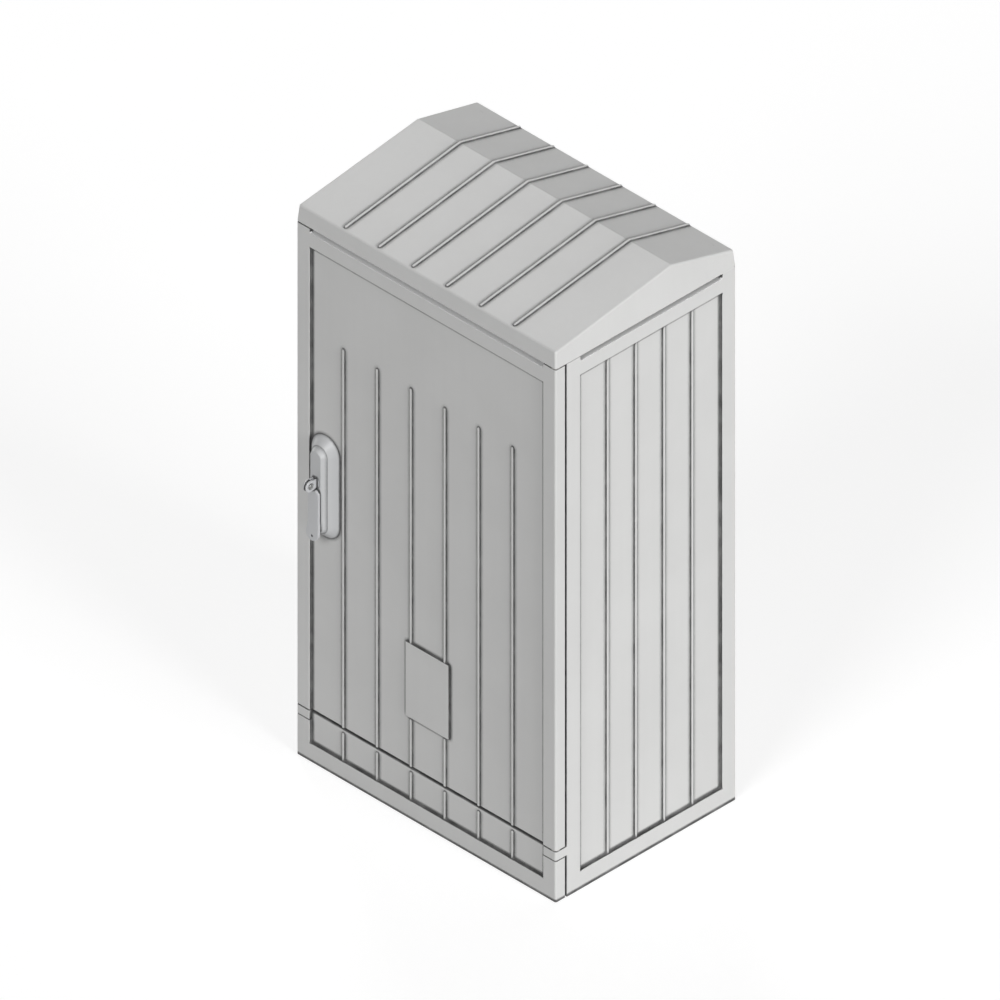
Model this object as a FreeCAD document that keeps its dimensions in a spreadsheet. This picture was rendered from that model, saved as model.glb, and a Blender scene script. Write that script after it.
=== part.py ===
import FreeCAD, Part
import math
import os
import re
import Sketcher

# Free-standing polyester electrical enclosure, in millimetres.
# The origin is the centre of the footprint on the ground. The front faces -Y and +Z is up.
# Depths are measured back from the front face and insets are measured in from a side face.

SIZES = {
    # Shell
    "cabinet_width": 460,
    "cabinet_depth": 320,
    "wall_height": 819,
    "wall": 4,
    "recess_depth": 4,
    "edge_round": 3,
    "fit": 0.2,
    # Panel borders and ribs
    "front_border": 23,
    "side_border": 24,
    "side_recess_start": 44,
    "head_border": 29.5,
    "foot_border": 27.5,
    "rib_radius": 2.25,
    "front_rib_pitch": 60,
    "front_rib_count": 6,
    "side_rib_pitch": 50,
    "side_rib_count": 4,
    "side_rib_first": 95,
    # Air slots under the roof
    "slot_height": 7.5,
    "slot_round": 3,
    # Door
    "door_bottom": 78.4,
    "door_flange": 17,
    "door_gap": 2.3,
    "door_head_gap": 1,
    "door_rib_top": 660,
    "pad_width": 76,
    "pad_height": 113.6,
    "pad_bottom": 154.4,
    "pad_proud": 2.5,
    "pad_rib_gap": 1.5,
    # Door opening and seal
    "stile_width": 31,
    "opening_bottom": 94,
    "opening_top": 776,
    "seal_width": 7.5,
    "seal_thickness": 6,
    "seal_gap": 0.3,
    "rim_thickness": 3,
    # Lower front panel and the ears beside it
    "panel_height": 63,
    "panel_lip_height": 74,
    "panel_rib_gap": 3.6,
    "ear_width": 22.5,
    "ear_gap": 0.4,
    # Roof
    "skirt_height": 25,
    "roof_draft": 2,
    "ridge_setback": 210,
    "ridge_rise": 29.5,
    "roof_rib_start": 6,
    "roof_post_radius": 8,
    "roof_post_inset": 25,
    "roof_post_front": 40,
    "roof_post_back": 25,
    "roof_screw_bite": 16,
    # Side wall rear flange
    "rear_flange_width": 20,
    "rear_flange_bottom": 50,
    "rear_flange_top": 775,
    # Foot frame
    "foot_height": 45,
    "foot_plate": 5,
    "foot_plate_width": 45,
    "anchor_radius": 6,
    "anchor_spread_across": 380,
    "anchor_spread_deep": 236,
    # Top frame
    "ring_plate": 4,
    "ring_width": 34,
    "ring_leg": 22.5,
    "ring_upstand": 20,
    "upstand_thickness": 3,
    # Front sill
    "sill_bottom": 40,
    "sill_tab_bottom": 56,
    "sill_tab_top": 82,
    "sill_tab_inset": 9,
    "panel_post_radius": 8,
    "panel_post_offset": 150,
    "panel_post_height": 55,
    # Hinge pins and bushes
    "hinge_inset": 6,
    "hinge_depth": 6,
    "hinge_pin_radius": 3,
    "hinge_running_gap": 0.05,
    "bush_radius": 4.5,
    "bush_length": 14,
    "bush_collar_radius": 5.6,
    "bush_collar": 0.8,
    "hinge_block": 12.5,
    "hinge_block_height": 20,
    "lower_pin_sunk": 11,
    "upper_pin_sunk": 16,
    # Handle
    "handle_inset": 48.5,
    "spindle_height": 449,
    "housing_above": 37.3,
    "housing_below": 68,
    "housing_foot_radius": 25.4,
    "housing_shelf_radius": 14.1,
    "housing_rise": 11.5,
    "spine_foot_radius": 13.2,
    "spine_top_radius": 9.2,
    "spine_rise": 7.5,
    "head_radius": 7.5,
    "head_gap": 0.08,
    "head_collar_radius": 10,
    "head_collar": 2.6,
    "fork_radius": 8.5,
    "fork_reach": 11,
    "fork_root": 6.5,
    "fork_cheek": 1.6,
    "fork_gap": 2.8,
    "lug_radius": 7.4,
    "lug_thickness": 2.6,
    "lever_pin_radius": 2,
    "lever_pin_gap": 0.05,
    "pin_head_radius": 3.2,
    "pin_head": 0.8,
    "lever_gap": 0.3,
    "lever_thickness": 4.2,
    "lever_half_width": 9.3,
    "lever_toe_half_width": 11,
    "lever_drop": 9.5,
    "lever_waist_drop": 57,
    "lever_toe_drop": 75,
    "lever_flare": 3,
    "lever_hole_radius": 1.5,
    "lever_hole_drop": 79.3,
    # Lock
    "spindle_square": 8,
    "square_gap": 0.05,
    "spindle_depth": 39.3,
    "case_steel": 1.5,
    "case_floor": 2,
    "case_half_width": 15.2,
    "case_half_height": 32,
    "case_depth": 34,
    "case_ear": 20,
    "case_post_radius": 4,
    "case_post_offset": 26,
    "lock_screw_offset": 44,
    "hub_radius": 6.5,
    "hub_gap": 0.08,
    "gear_module": 1.25,
    "gear_teeth": 14,
    "gear_addendum": 1.0,
    "gear_dedendum": 1.25,
    "gear_backlash": 0.2,
    "flank_slope": 0.364,
    "rack_teeth": 8,
    "rack_back": 3.5,
    "rack_end": 8,
    "rod_width": 9,
    "rod_thickness": 5,
    "rod_depth": 24.2,
    "rod_shoulder": 25,
    "rod_engagement": 10,
    "guide_height": 20,
    "guide_wall": 1.7,
    "guide_back": 2.6,
    "guide_foot": 16,
    "guide_foot_thickness": 4,
    "guide_pad": 6,
    "guide_distance": 34,
    "guide_screw_first": 4.4,
    "guide_screw_pitch": 8,
    "rod_gap": 0.1,
    "tongue_thickness": 3,
    "tongue_reach": 26.5,
    "tongue_half_width": 6,
    "tongue_hub_radius": 9,
    "tongue_gap": 0.5,
    "keeper_height": 40,
    "keeper_inset": 9,
    "keeper_width": 21.5,
    "keeper_clearance": 0.7,
    "keeper_screw_inset": 15,
    "keeper_screw_offset": 12,
    # Mounting plate
    "plate_half_width": 165,
    "plate_bottom": 130,
    "plate_top": 730,
    "plate_thickness": 2.5,
    "plate_corner": 10,
    "plate_stand_off": 23.5,
    "plate_post_offset": 150,
    "plate_post_margin": 20,
    "plate_post_radius": 6.5,
    "plate_boss_radius": 10,
    "plate_boss_height": 8,
    # Fasteners
    "screw_radius": 3,
    "screw_hole_gap": 0.3,
    "screw_head_radius": 5,
    "screw_head": 3.6,
    "screw_bite": 6,
    "boss_radius": 5.3,
    "small_screw_radius": 2,
    "small_screw_head_radius": 3.5,
    "small_screw_head": 2.2,
    "small_screw_bite": 7,
    "shell_screw_depth": 13.6,
    "foot_screw_height": 13.75,
    "head_screw_drop": 11,
}

# Expressions that several pieces share
HALF = "(cabinet_width / 2)"
FRONT = "(-cabinet_depth / 2)"
BACK = "(cabinet_depth / 2)"
LINING = "(wall + recess_depth)"
STILE = "(door_flange + door_gap)"
STILE_BACK = f"({STILE} + wall)"
SLOT_BOTTOM = "(wall_height - slot_height)"
RECESS_TOP = "(wall_height - head_border)"
DOOR_TOP = "(wall_height - door_head_gap)"
EAR_BOTTOM = "(panel_height + ear_gap)"
EAR_TOP = "(door_bottom - bush_collar - fit)"
EAR_MIDDLE = f"(({EAR_BOTTOM} + {EAR_TOP}) / 2)"
EAR_SCREW = "(ear_width - screw_head_radius)"
RIM_OUT = "(seal_width / 2 + rim_thickness / 2)"
RIM_IN = "(seal_width / 2 - rim_thickness / 2)"
SEAL_BACK = f"({LINING} + seal_thickness)"
RIM_FRONT = f"({SEAL_BACK} + seal_gap)"
EAVE = "(wall_height + skirt_height)"
SPINDLE_X = f"(-{HALF} + handle_inset)"
PANEL_FACE = "recess_depth"
SHELF = "(recess_depth - housing_rise)"
SPINE = f"({SHELF} - spine_rise)"
FORK = f"({SPINE} - fork_reach)"
PITCH_RADIUS = "(gear_module * gear_teeth / 2)"
ROD_OUT = f"({PITCH_RADIUS} + gear_dedendum + rack_back)"
RACK_PITCH = "(gear_module * pi)"
ROD_BACK = "(rod_depth + rod_thickness)"
COVER_BACK = "(case_depth + case_floor)"
TONGUE_FRONT = f"({COVER_BACK} + tongue_gap)"
TONGUE_BACK = f"({TONGUE_FRONT} + tongue_thickness)"
LEVER_TOP = "(spindle_height - lever_drop)"
LEVER_WAIST = "(spindle_height - lever_waist_drop)"
LEVER_TOE = "(spindle_height - lever_toe_drop)"
PLATE_BACK = f"({BACK} - {LINING} - plate_stand_off)"
PLATE_FRONT = f"({PLATE_BACK} - plate_thickness)"
FRAME_IN = f"({LINING} + fit)"
FRAME_FRONT = f"({STILE_BACK} + fit)"
LEG_BOTTOM = f"({SLOT_BOTTOM} - ring_plate - ring_leg)"
HEAD_SCREW = f"({SLOT_BOTTOM} - head_screw_drop)"

doc = FreeCAD.newDocument("enclosure")
sheet = doc.addObject("Spreadsheet::Sheet", "Sizes")
for row, (alias, size) in enumerate(SIZES.items(), start=1):
    sheet.set(f"A{row}", str(size))
    sheet.setAlias(f"A{row}", alias)
doc.recompute()

nodes = []


def bound(expression):
    """Puts the sheet's name before each size in an expression."""
    return re.sub(r"[a-z]\w*", lambda word: ("Sizes." if word[0] in SIZES else "") + word[0], str(expression))


def number(expression):
    """The present value of an expression."""
    return float(sheet.evalExpression(str(expression)))


def behind(depth):
    """The place that lies a given depth behind the front face."""
    return f"({FRONT} + {depth})"


def before(depth):
    """The place that lies a given depth before the back face."""
    return f"({BACK} - {depth})"


def across(side, near, far):
    """The low and high X between two insets from the right (1) or left (-1) side face."""
    ends = [f"({side} * ({HALF} - ({distance})))" for distance in (near, far)]
    return ends[::-1] if side > 0 else ends


def inset(side, distance):
    """The X of one inset from the right (1) or left (-1) side face."""
    return f"({side} * ({HALF} - ({distance})))"


class Outline:
    """Closed lines and arcs in a sketch, held at expressions."""

    def __init__(self, points):
        # A point is (a, b) for a straight run to it, or (a, b, radius, turn) for an arc to it.
        self.points = points

    def draw(self, sketch):
        start = sketch.GeometryCount
        places = [FreeCAD.Vector(number(point[0]), number(point[1]), 0) for point in self.points]
        ends = []
        for index, point in enumerate(self.points):
            tail, head = places[index - 1], places[index]
            if len(point) == 2:
                geometry = Part.LineSegment(tail, head)
                ends.append((1, 2))
            else:
                geometry = arc_between(tail, head, number(point[2]), point[3])
                ends.append((1, 2) if point[3] > 0 else (2, 1))
            sketch.addGeometry(geometry, False)
        count = len(self.points)
        for index, point in enumerate(self.points):
            follower = (index + 1) % count
            this_end = (start + index, ends[index][1])
            next_end = (start + follower, ends[follower][0])
            sketch.addConstraint(Sketcher.Constraint("Coincident", *this_end, *next_end))
            hold(sketch, "DistanceX", (-1, 1) + this_end, point[0])
            hold(sketch, "DistanceY", (-1, 1) + this_end, point[1])
            if len(point) > 2:
                hold(sketch, "Radius", (start + index,), point[2])


class Disc:
    """A circle in a sketch, held at expressions."""

    def __init__(self, a, b, radius):
        self.a, self.b, self.radius = a, b, radius

    def draw(self, sketch):
        index = sketch.GeometryCount
        centre = FreeCAD.Vector(number(self.a), number(self.b), 0)
        sketch.addGeometry(Part.Circle(centre, FreeCAD.Vector(0, 0, 1), number(self.radius)), False)
        hold(sketch, "DistanceX", (-1, 1, index, 3), self.a)
        hold(sketch, "DistanceY", (-1, 1, index, 3), self.b)
        hold(sketch, "Radius", (index,), self.radius)


def arc_between(tail, head, radius, turn):
    """The short arc from tail to head, turning left (1) or right (-1)."""
    chord = head - tail
    sagitta_side = FreeCAD.Vector(-chord.y, chord.x, 0).normalize() * turn
    rise = math.sqrt(max(radius**2 - (chord.Length / 2) ** 2, 0))
    centre = (tail + head) * 0.5 + sagitta_side * rise
    middle = centre - sagitta_side * radius
    return Part.Arc(tail, middle, head)


def hold(sketch, kind, where, expression):
    """Adds one constraint and binds it to an expression."""
    index = sketch.addConstraint(Sketcher.Constraint(kind, *where, number(expression)))
    name = f"size_{index}"
    sketch.renameConstraint(index, name)
    sketch.setExpression(f"Constraints.{name}", bound(expression))


def box(a0, a1, b0, b1):
    """A rectangle between two places along each sketch axis."""
    return Outline([(a0, b0), (a1, b0), (a1, b1), (a0, b1)])


def stadium(a, b0, b1, radius):
    """An upright slot shape whose arc centres lie at b0 and b1."""
    left, right = f"({a} - {radius})", f"({a} + {radius})"
    return Outline([(left, b0), (a, f"({b0} - {radius})", radius, 1), (right, b0, radius, 1),
                    (right, b1), (a, f"({b1} + {radius})", radius, 1), (left, b1, radius, 1)])


def new_body(label):
    body = doc.addObject("PartDesign::Body", label)
    body.Label = label
    nodes.append(body)
    return body


def new_sketch(body, plane, level, outlines, shift="0"):
    """A sketch on one of the body's own origin planes, moved to a level along that plane's axis."""
    sketch = body.newObject("Sketcher::SketchObject", "outline")
    feature = next(item for item in body.Origin.OriginFeatures if item.Role == f"{plane}_Plane")
    sketch.AttachmentSupport = [(feature, "")]
    sketch.MapMode = "FlatFace"
    sign = "-" if plane == "XZ" else ""
    sketch.setExpression(".AttachmentOffset.Base.z", bound(f"{sign}({level})"))
    sketch.setExpression(".AttachmentOffset.Base.x", bound(shift))
    for outline in outlines:
        outline.draw(sketch)
    return sketch


def extrude(kind, body, plane, low, high, outlines):
    level = high if plane == "XZ" else low
    feature = body.newObject(kind, "layer")
    feature.Profile = new_sketch(body, plane, level, outlines)
    feature.setExpression("Length", bound(f"({high}) - ({low})"))
    return feature


def grow(body, plane, low, high, *outlines):
    """Adds material between two levels along the plane's axis."""
    return extrude("PartDesign::Pad", body, plane, low, high, outlines)


def cut(body, plane, low, high, *outlines):
    """Removes material between two levels along the plane's axis."""
    feature = extrude("PartDesign::Pocket", body, plane, low, high, outlines)
    feature.Reversed = True
    return feature


def blend_between(body, plane, low, low_outline, high, high_outline):
    """A loft between two outlines at two levels."""
    feature = body.newObject("PartDesign::AdditiveLoft", "slope")
    feature.Profile = new_sketch(body, plane, low, [low_outline])
    feature.Sections = [new_sketch(body, plane, high, [high_outline])]
    feature.Ruled = True
    return feature


def add_rib(body, plane, place, level, low, high, domed):
    """A half-round rib that stands up from a flat panel, with a domed top where it ends free."""
    turn = [("0", low), ("rib_radius", low)]
    if domed:
        turn += [("rib_radius", f"({high} - rib_radius)"), ("0", high, "rib_radius", 1)]
    else:
        turn += [("rib_radius", high), ("0", high)]
    sketch = new_sketch(body, plane, level, [Outline(turn)], shift=place)
    feature = body.newObject("PartDesign::Revolution", "rib")
    feature.Profile = sketch
    feature.ReferenceAxis = (sketch, ["V_Axis"])
    feature.Angle = 360
    return feature


def round_edges(body, radius, wanted):
    """Fillets the edges for which wanted(edge) is true."""
    doc.recompute()
    base = body.Tip
    names = [f"Edge{index}" for index, edge in enumerate(base.Shape.Edges, start=1) if wanted(edge)]
    feature = body.newObject("PartDesign::Fillet", "rounding")
    feature.Base = (base, names)
    feature.setExpression("Radius", bound(radius))
    return feature


def runs_along(edge, axis):
    """True for a straight edge along X (0), Y (1) or Z (2)."""
    if len(edge.Vertexes) < 2:
        return False
    run = edge.Vertexes[1].Point - edge.Vertexes[0].Point
    return run.Length > edge.Length - 1e-6 and abs(run[axis]) > run.Length - 1e-6


def lies_at(edge, **places):
    """True when the middle of an edge lies at the given x, y or z."""
    middle = edge.valueAt((edge.FirstParameter + edge.LastParameter) / 2)
    return all(abs(getattr(middle, axis) - number(place)) < 0.01 for axis, place in places.items())


TURNS = {
    "+X": FreeCAD.Rotation(FreeCAD.Vector(0, 1, 0), 90),
    "-X": FreeCAD.Rotation(FreeCAD.Vector(0, 1, 0), -90),
    "+Y": FreeCAD.Rotation(FreeCAD.Vector(1, 0, 0), -90),
    "-Y": FreeCAD.Rotation(FreeCAD.Vector(1, 0, 0), 90),
    "+Z": FreeCAD.Rotation(),
    "-Z": FreeCAD.Rotation(FreeCAD.Vector(1, 0, 0), 180),
}


def put(item, direction, place, along="0"):
    """Turns a primitive's own axis to a direction and stands it at a place, moved along that direction."""
    item.Placement = FreeCAD.Placement(FreeCAD.Vector(0, 0, 0), TURNS[direction])
    sign = direction[0]
    for index, axis in enumerate("XYZ"):
        expression = place[index]
        if axis == direction[1]:
            expression = f"({expression}) {sign} ({along})"
        item.setExpression(f".Placement.Base.{axis.lower()}", bound(expression))
    return item


def rod_stock(direction, place, radius, length, along="0"):
    item = doc.addObject("Part::Cylinder", "shank")
    item.setExpression("Radius", bound(radius))
    item.setExpression("Height", bound(length))
    return put(item, direction, place, along)


def hex_stock(direction, place, radius, length, along="0"):
    item = doc.addObject("Part::Prism", "hexagon")
    item.Polygon = 6
    item.setExpression("Circumradius", bound(radius))
    item.setExpression("Height", bound(length))
    return put(item, direction, place, along)


def fused(label, items):
    item = doc.addObject("Part::MultiFuse", label)
    item.Shapes = items
    return item


def group(label, items):
    """Separate solids that share one node."""
    item = doc.addObject("Part::Compound", label)
    item.Links = items
    item.Label = label
    nodes.append(item)
    return item


def single(label, item):
    item.Label = label
    nodes.append(item)
    return item


def screw(direction, place, length, head=hex_stock, size=""):
    """A screw whose head seats at a place and whose shank runs from there in a direction."""
    head_item = head(direction, place, f"{size}screw_head_radius", f"{size}screw_head", f"-{size}screw_head")
    shank = rod_stock(direction, place, f"{size}screw_radius", length)
    return fused("screw", [head_item, shank])


def rib_places(count, pitch, index):
    return f"(({index} - ({count} - 1) / 2) * {pitch})"


def front_rib(index):
    return rib_places("front_rib_count", "front_rib_pitch", index)


SHELL_SCREWS = ["(wall_height * 0.15)", "(wall_height * 0.52)", "(wall_height * 0.9)"]
FOOT_SCREW_DEPTHS = ["(cabinet_depth * 0.3)", "(cabinet_depth * 0.8)"]
FOOT_SCREW_SPREAD = "(cabinet_width * 0.3)"
HOLE = "(screw_radius + screw_hole_gap)"
SMALL_HOLE = "(small_screw_radius + screw_hole_gap)"
BLIND = f"({LINING} - screw_bite)"
LOCK_SCREWS = [(SPINDLE_X, f"(spindle_height + {sign} * lock_screw_offset)") for sign in (-1, 1)]
KEEPER_SCREWS = [(inset(-1, "keeper_screw_inset"), f"(spindle_height + {sign} * keeper_screw_offset)")
                 for sign in (-1, 1)]


def make_side_wall(side):
    """One side wall: a recessed panel with a stile at the front and a flange at the back."""
    body = new_body("right_side_wall" if side > 0 else "left_side_wall")
    deep = [behind("side_recess_start"), before("side_border")]
    grow(body, "YZ", *across(side, "0", "wall"), box(behind(STILE), BACK, "0", "wall_height"))
    ring = box(behind(STILE), before(LINING), "0", SLOT_BOTTOM)
    channel = box(behind(STILE_BACK), before(f"({LINING} + wall)"), "wall", f"({SLOT_BOTTOM} - wall)")
    floor = box(behind("(side_recess_start - wall)"), before("(side_border - wall)"),
                "(foot_border - wall)", f"({RECESS_TOP} + wall)")
    spots = [(behind(depth), height)
             for depth in FOOT_SCREW_DEPTHS for height in ("foot_screw_height", HEAD_SCREW)]
    grow(body, "YZ", *across(side, "wall", LINING), ring, channel, floor)
    grow(body, "YZ", *across(side, "(wall / 2)", LINING), *[Disc(*spot, "boss_radius") for spot in spots])
    cut(body, "YZ", *across(side, "0", "recess_depth"), box(*deep, "foot_border", RECESS_TOP))
    cut(body, "YZ", *across(side, "0", LINING), box(*deep, SLOT_BOTTOM, "wall_height"))
    grow(body, "XZ", behind(STILE), behind(STILE_BACK),
         box(*across(side, "0", "stile_width"), "0", SLOT_BOTTOM))
    grow(body, "XZ", behind(RIM_FRONT), behind(STILE),
         box(*across(side, f"(stile_width - {RIM_OUT})", f"(stile_width - {RIM_IN})"),
             f"(opening_bottom - {RIM_OUT})", f"(opening_top + {RIM_OUT})"))
    flange = across(side, "wall", f"({LINING} + rear_flange_width)")
    grow(body, "XZ", before(f"({LINING} + wall)"), before(LINING),
         box(*flange, "rear_flange_bottom", "rear_flange_top"))
    grow(body, "XZ", FRONT, behind(STILE), box(*across(side, "0", "ear_width"), EAR_BOTTOM, EAR_TOP))
    for index in range(int(SIZES["side_rib_count"])):
        place = behind(f"(side_rib_first + {index} * side_rib_pitch)")
        add_rib(body, "YZ", place, inset(side, "recess_depth"),
                "(foot_border - wall / 2)", f"({RECESS_TOP} + wall / 2)", domed=False)
    cut(body, "YZ", *across(side, BLIND, LINING), *[Disc(*spot, "screw_radius") for spot in spots])
    cut(body, "XZ", before(f"({LINING} + wall)"), before(LINING),
        *[Disc(inset(side, "shell_screw_depth"), height, HOLE) for height in SHELL_SCREWS])
    cut(body, "XZ", behind(f"({STILE} - 2 * screw_bite)"), behind(STILE_BACK),
        Disc(inset(side, EAR_SCREW), EAR_MIDDLE, "screw_radius"))
    if side > 0:
        cut(body, "XY", f"({EAR_TOP} - lower_pin_sunk)", EAR_TOP,
            Disc(inset(side, "hinge_inset"), behind("hinge_depth"), "hinge_pin_radius"))
    else:
        cut(body, "XZ", behind(STILE), behind(STILE_BACK),
            *[Disc(*spot, SMALL_HOLE) for spot in KEEPER_SCREWS])
    round_edges(body, "edge_round", lambda edge: runs_along(edge, 2) and (
        lies_at(edge, x=inset(side, "0"), y=BACK) or lies_at(edge, x=inset(side, "0"), y=FRONT)))
    round_edges(body, "slot_round", lambda edge: runs_along(edge, 0) and any(
        lies_at(edge, y=place, z=SLOT_BOTTOM) for place in deep))
    return body


def make_rear_wall():
    """The rear wall: a recessed ribbed panel between the side walls."""
    body = new_body("rear_wall")
    edge = "(wall + fit)"
    outer = [inset(-1, edge), inset(1, edge)]
    border = [inset(-1, "front_border"), inset(1, "front_border")]
    grow(body, "XZ", before("wall"), BACK, box(*outer, "0", "wall_height"))
    ring = box(*outer, "0", SLOT_BOTTOM)
    channel = box(inset(-1, f"({edge} + wall)"), inset(1, f"({edge} + wall)"),
                  "wall", f"({SLOT_BOTTOM} - wall)")
    floor = box(inset(-1, "(front_border - wall)"), inset(1, "(front_border - wall)"),
                "(foot_border - wall)", f"({RECESS_TOP} + wall)")
    spots = [(inset(side, "shell_screw_depth"), height) for side in (-1, 1) for height in SHELL_SCREWS]
    spots += [(f"({sign} * {FOOT_SCREW_SPREAD})", height)
              for sign in (-1, 1) for height in ("foot_screw_height", HEAD_SCREW)]
    grow(body, "XZ", before(LINING), before("wall"), ring, channel, floor)
    grow(body, "XZ", before(LINING), before("(wall / 2)"), *[Disc(*spot, "boss_radius") for spot in spots])
    cut(body, "XZ", before("recess_depth"), BACK, box(*border, "foot_border", RECESS_TOP))
    cut(body, "XZ", before(LINING), BACK, box(*border, SLOT_BOTTOM, "wall_height"))
    for index in range(int(SIZES["front_rib_count"])):
        add_rib(body, "XZ", front_rib(index), before("recess_depth"),
                "(foot_border - wall / 2)", f"({RECESS_TOP} + wall / 2)", domed=False)
    grow(body, "XZ", before(f"({LINING} + plate_boss_height)"), before(LINING),
         *[Disc(*spot, "plate_boss_radius") for spot in plate_post_spots()])
    cut(body, "XZ", before(LINING), before(f"({LINING} - screw_bite)"),
        *[Disc(*spot, "screw_radius") for spot in spots])
    cut(body, "XZ", before(f"({LINING} + plate_boss_height)"), before("(recess_depth + wall)"),
        *[Disc(*spot, "screw_radius") for spot in plate_post_spots()])
    round_edges(body, "slot_round", lambda edge: runs_along(edge, 1) and any(
        lies_at(edge, x=place, z=SLOT_BOTTOM) for place in border))
    return body


def plate_post_spots():
    return [(f"({sign} * plate_post_offset)", height) for sign in (-1, 1)
            for height in ("(plate_bottom + plate_post_margin)", "(plate_top - plate_post_margin)")]


def make_base_frame():
    """The foot frame: an upright ring with an inward plate that has the anchor holes."""
    body = new_body("base_frame")

    def ring(extra):
        return box(inset(-1, f"({FRAME_IN} + {extra})"), inset(1, f"({FRAME_IN} + {extra})"),
                   behind(f"({FRAME_FRONT} + {extra})"), before(f"({FRAME_IN} + {extra})"))

    grow(body, "XY", "0", "foot_plate", ring("0"), ring("foot_plate_width"))
    grow(body, "XY", "0", "foot_height", ring("0"), ring("foot_plate"))
    cut(body, "XY", "0", "foot_plate",
        *[Disc(f"({across_sign} * anchor_spread_across / 2)", f"({deep_sign} * anchor_spread_deep / 2)",
               "anchor_radius") for across_sign in (-1, 1) for deep_sign in (-1, 1)])
    for side in (-1, 1):
        cut(body, "YZ", *across(side, FRAME_IN, f"({FRAME_IN} + foot_plate)"),
            *[Disc(behind(depth), "foot_screw_height", HOLE) for depth in FOOT_SCREW_DEPTHS])
    cut(body, "XZ", before(f"({FRAME_IN} + foot_plate)"), before(FRAME_IN),
        *[Disc(f"({sign} * {FOOT_SCREW_SPREAD})", "foot_screw_height", HOLE) for sign in (-1, 1)])
    return body


def make_top_frame():
    """The head ring: legs on the walls, a plate with a rain upstand, and the head rail of the door opening."""
    body = new_body("top_frame")

    def ring(extra):
        return box(inset(-1, f"({FRAME_IN} + {extra})"), inset(1, f"({FRAME_IN} + {extra})"),
                   behind(f"({FRAME_FRONT} + {extra})"), before(f"({FRAME_IN} + {extra})"))

    plate_low = f"({SLOT_BOTTOM} - ring_plate)"
    grow(body, "XY", plate_low, SLOT_BOTTOM, ring("0"), ring("ring_width"))
    grow(body, "XY", LEG_BOTTOM, plate_low, ring("0"), ring("ring_plate"))
    cut(body, "XY", LEG_BOTTOM, plate_low,
        box(inset(-1, f"({FRAME_IN} + ring_plate)"), inset(1, f"({FRAME_IN} + ring_plate)"),
            behind(FRAME_FRONT), behind(f"({FRAME_FRONT} + ring_plate)")))
    grow(body, "XY", SLOT_BOTTOM, f"({SLOT_BOTTOM} + ring_upstand)",
         ring("(ring_width - upstand_thickness)"), ring("ring_width"))
    rail = [inset(-1, "(stile_width + fit)"), inset(1, "(stile_width + fit)")]
    grow(body, "XZ", behind(STILE), behind(FRAME_FRONT), box(*rail, "opening_top", SLOT_BOTTOM))
    grow(body, "XZ", behind(RIM_FRONT), behind(STILE),
         box(inset(-1, f"(stile_width - {RIM_IN} + fit)"), inset(1, f"(stile_width - {RIM_IN} + fit)"),
             f"(opening_top + {RIM_IN})", f"(opening_top + {RIM_OUT})"))
    for side in (-1, 1):
        cut(body, "YZ", *across(side, FRAME_IN, f"({FRAME_IN} + ring_plate)"),
            *[Disc(behind(depth), HEAD_SCREW, HOLE) for depth in FOOT_SCREW_DEPTHS])
    cut(body, "XZ", before(f"({FRAME_IN} + ring_plate)"), before(FRAME_IN),
        *[Disc(f"({sign} * {FOOT_SCREW_SPREAD})", HEAD_SCREW, HOLE) for sign in (-1, 1)])
    cut(body, "XY", plate_low, SLOT_BOTTOM, *[Disc(x, y, HOLE) for x, y, _ in roof_post_spots()])
    return body


def roof_post_spots():
    """X, Y and the underside of the roof above each roof post."""
    front_rise = "(ridge_rise / (ridge_setback - roof_draft) * (roof_post_front - roof_draft))"
    back_rise = "(ridge_rise / (cabinet_depth - ridge_setback - roof_draft) * (roof_post_back - roof_draft))"
    spots = []
    for side in (-1, 1):
        x = inset(side, "roof_post_inset")
        spots.append((x, behind("roof_post_front"), f"({EAVE} + {front_rise} - wall / 2)"))
        spots.append((x, before("roof_post_back"), f"({EAVE} + {back_rise} - wall / 2)"))
    return spots


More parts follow.
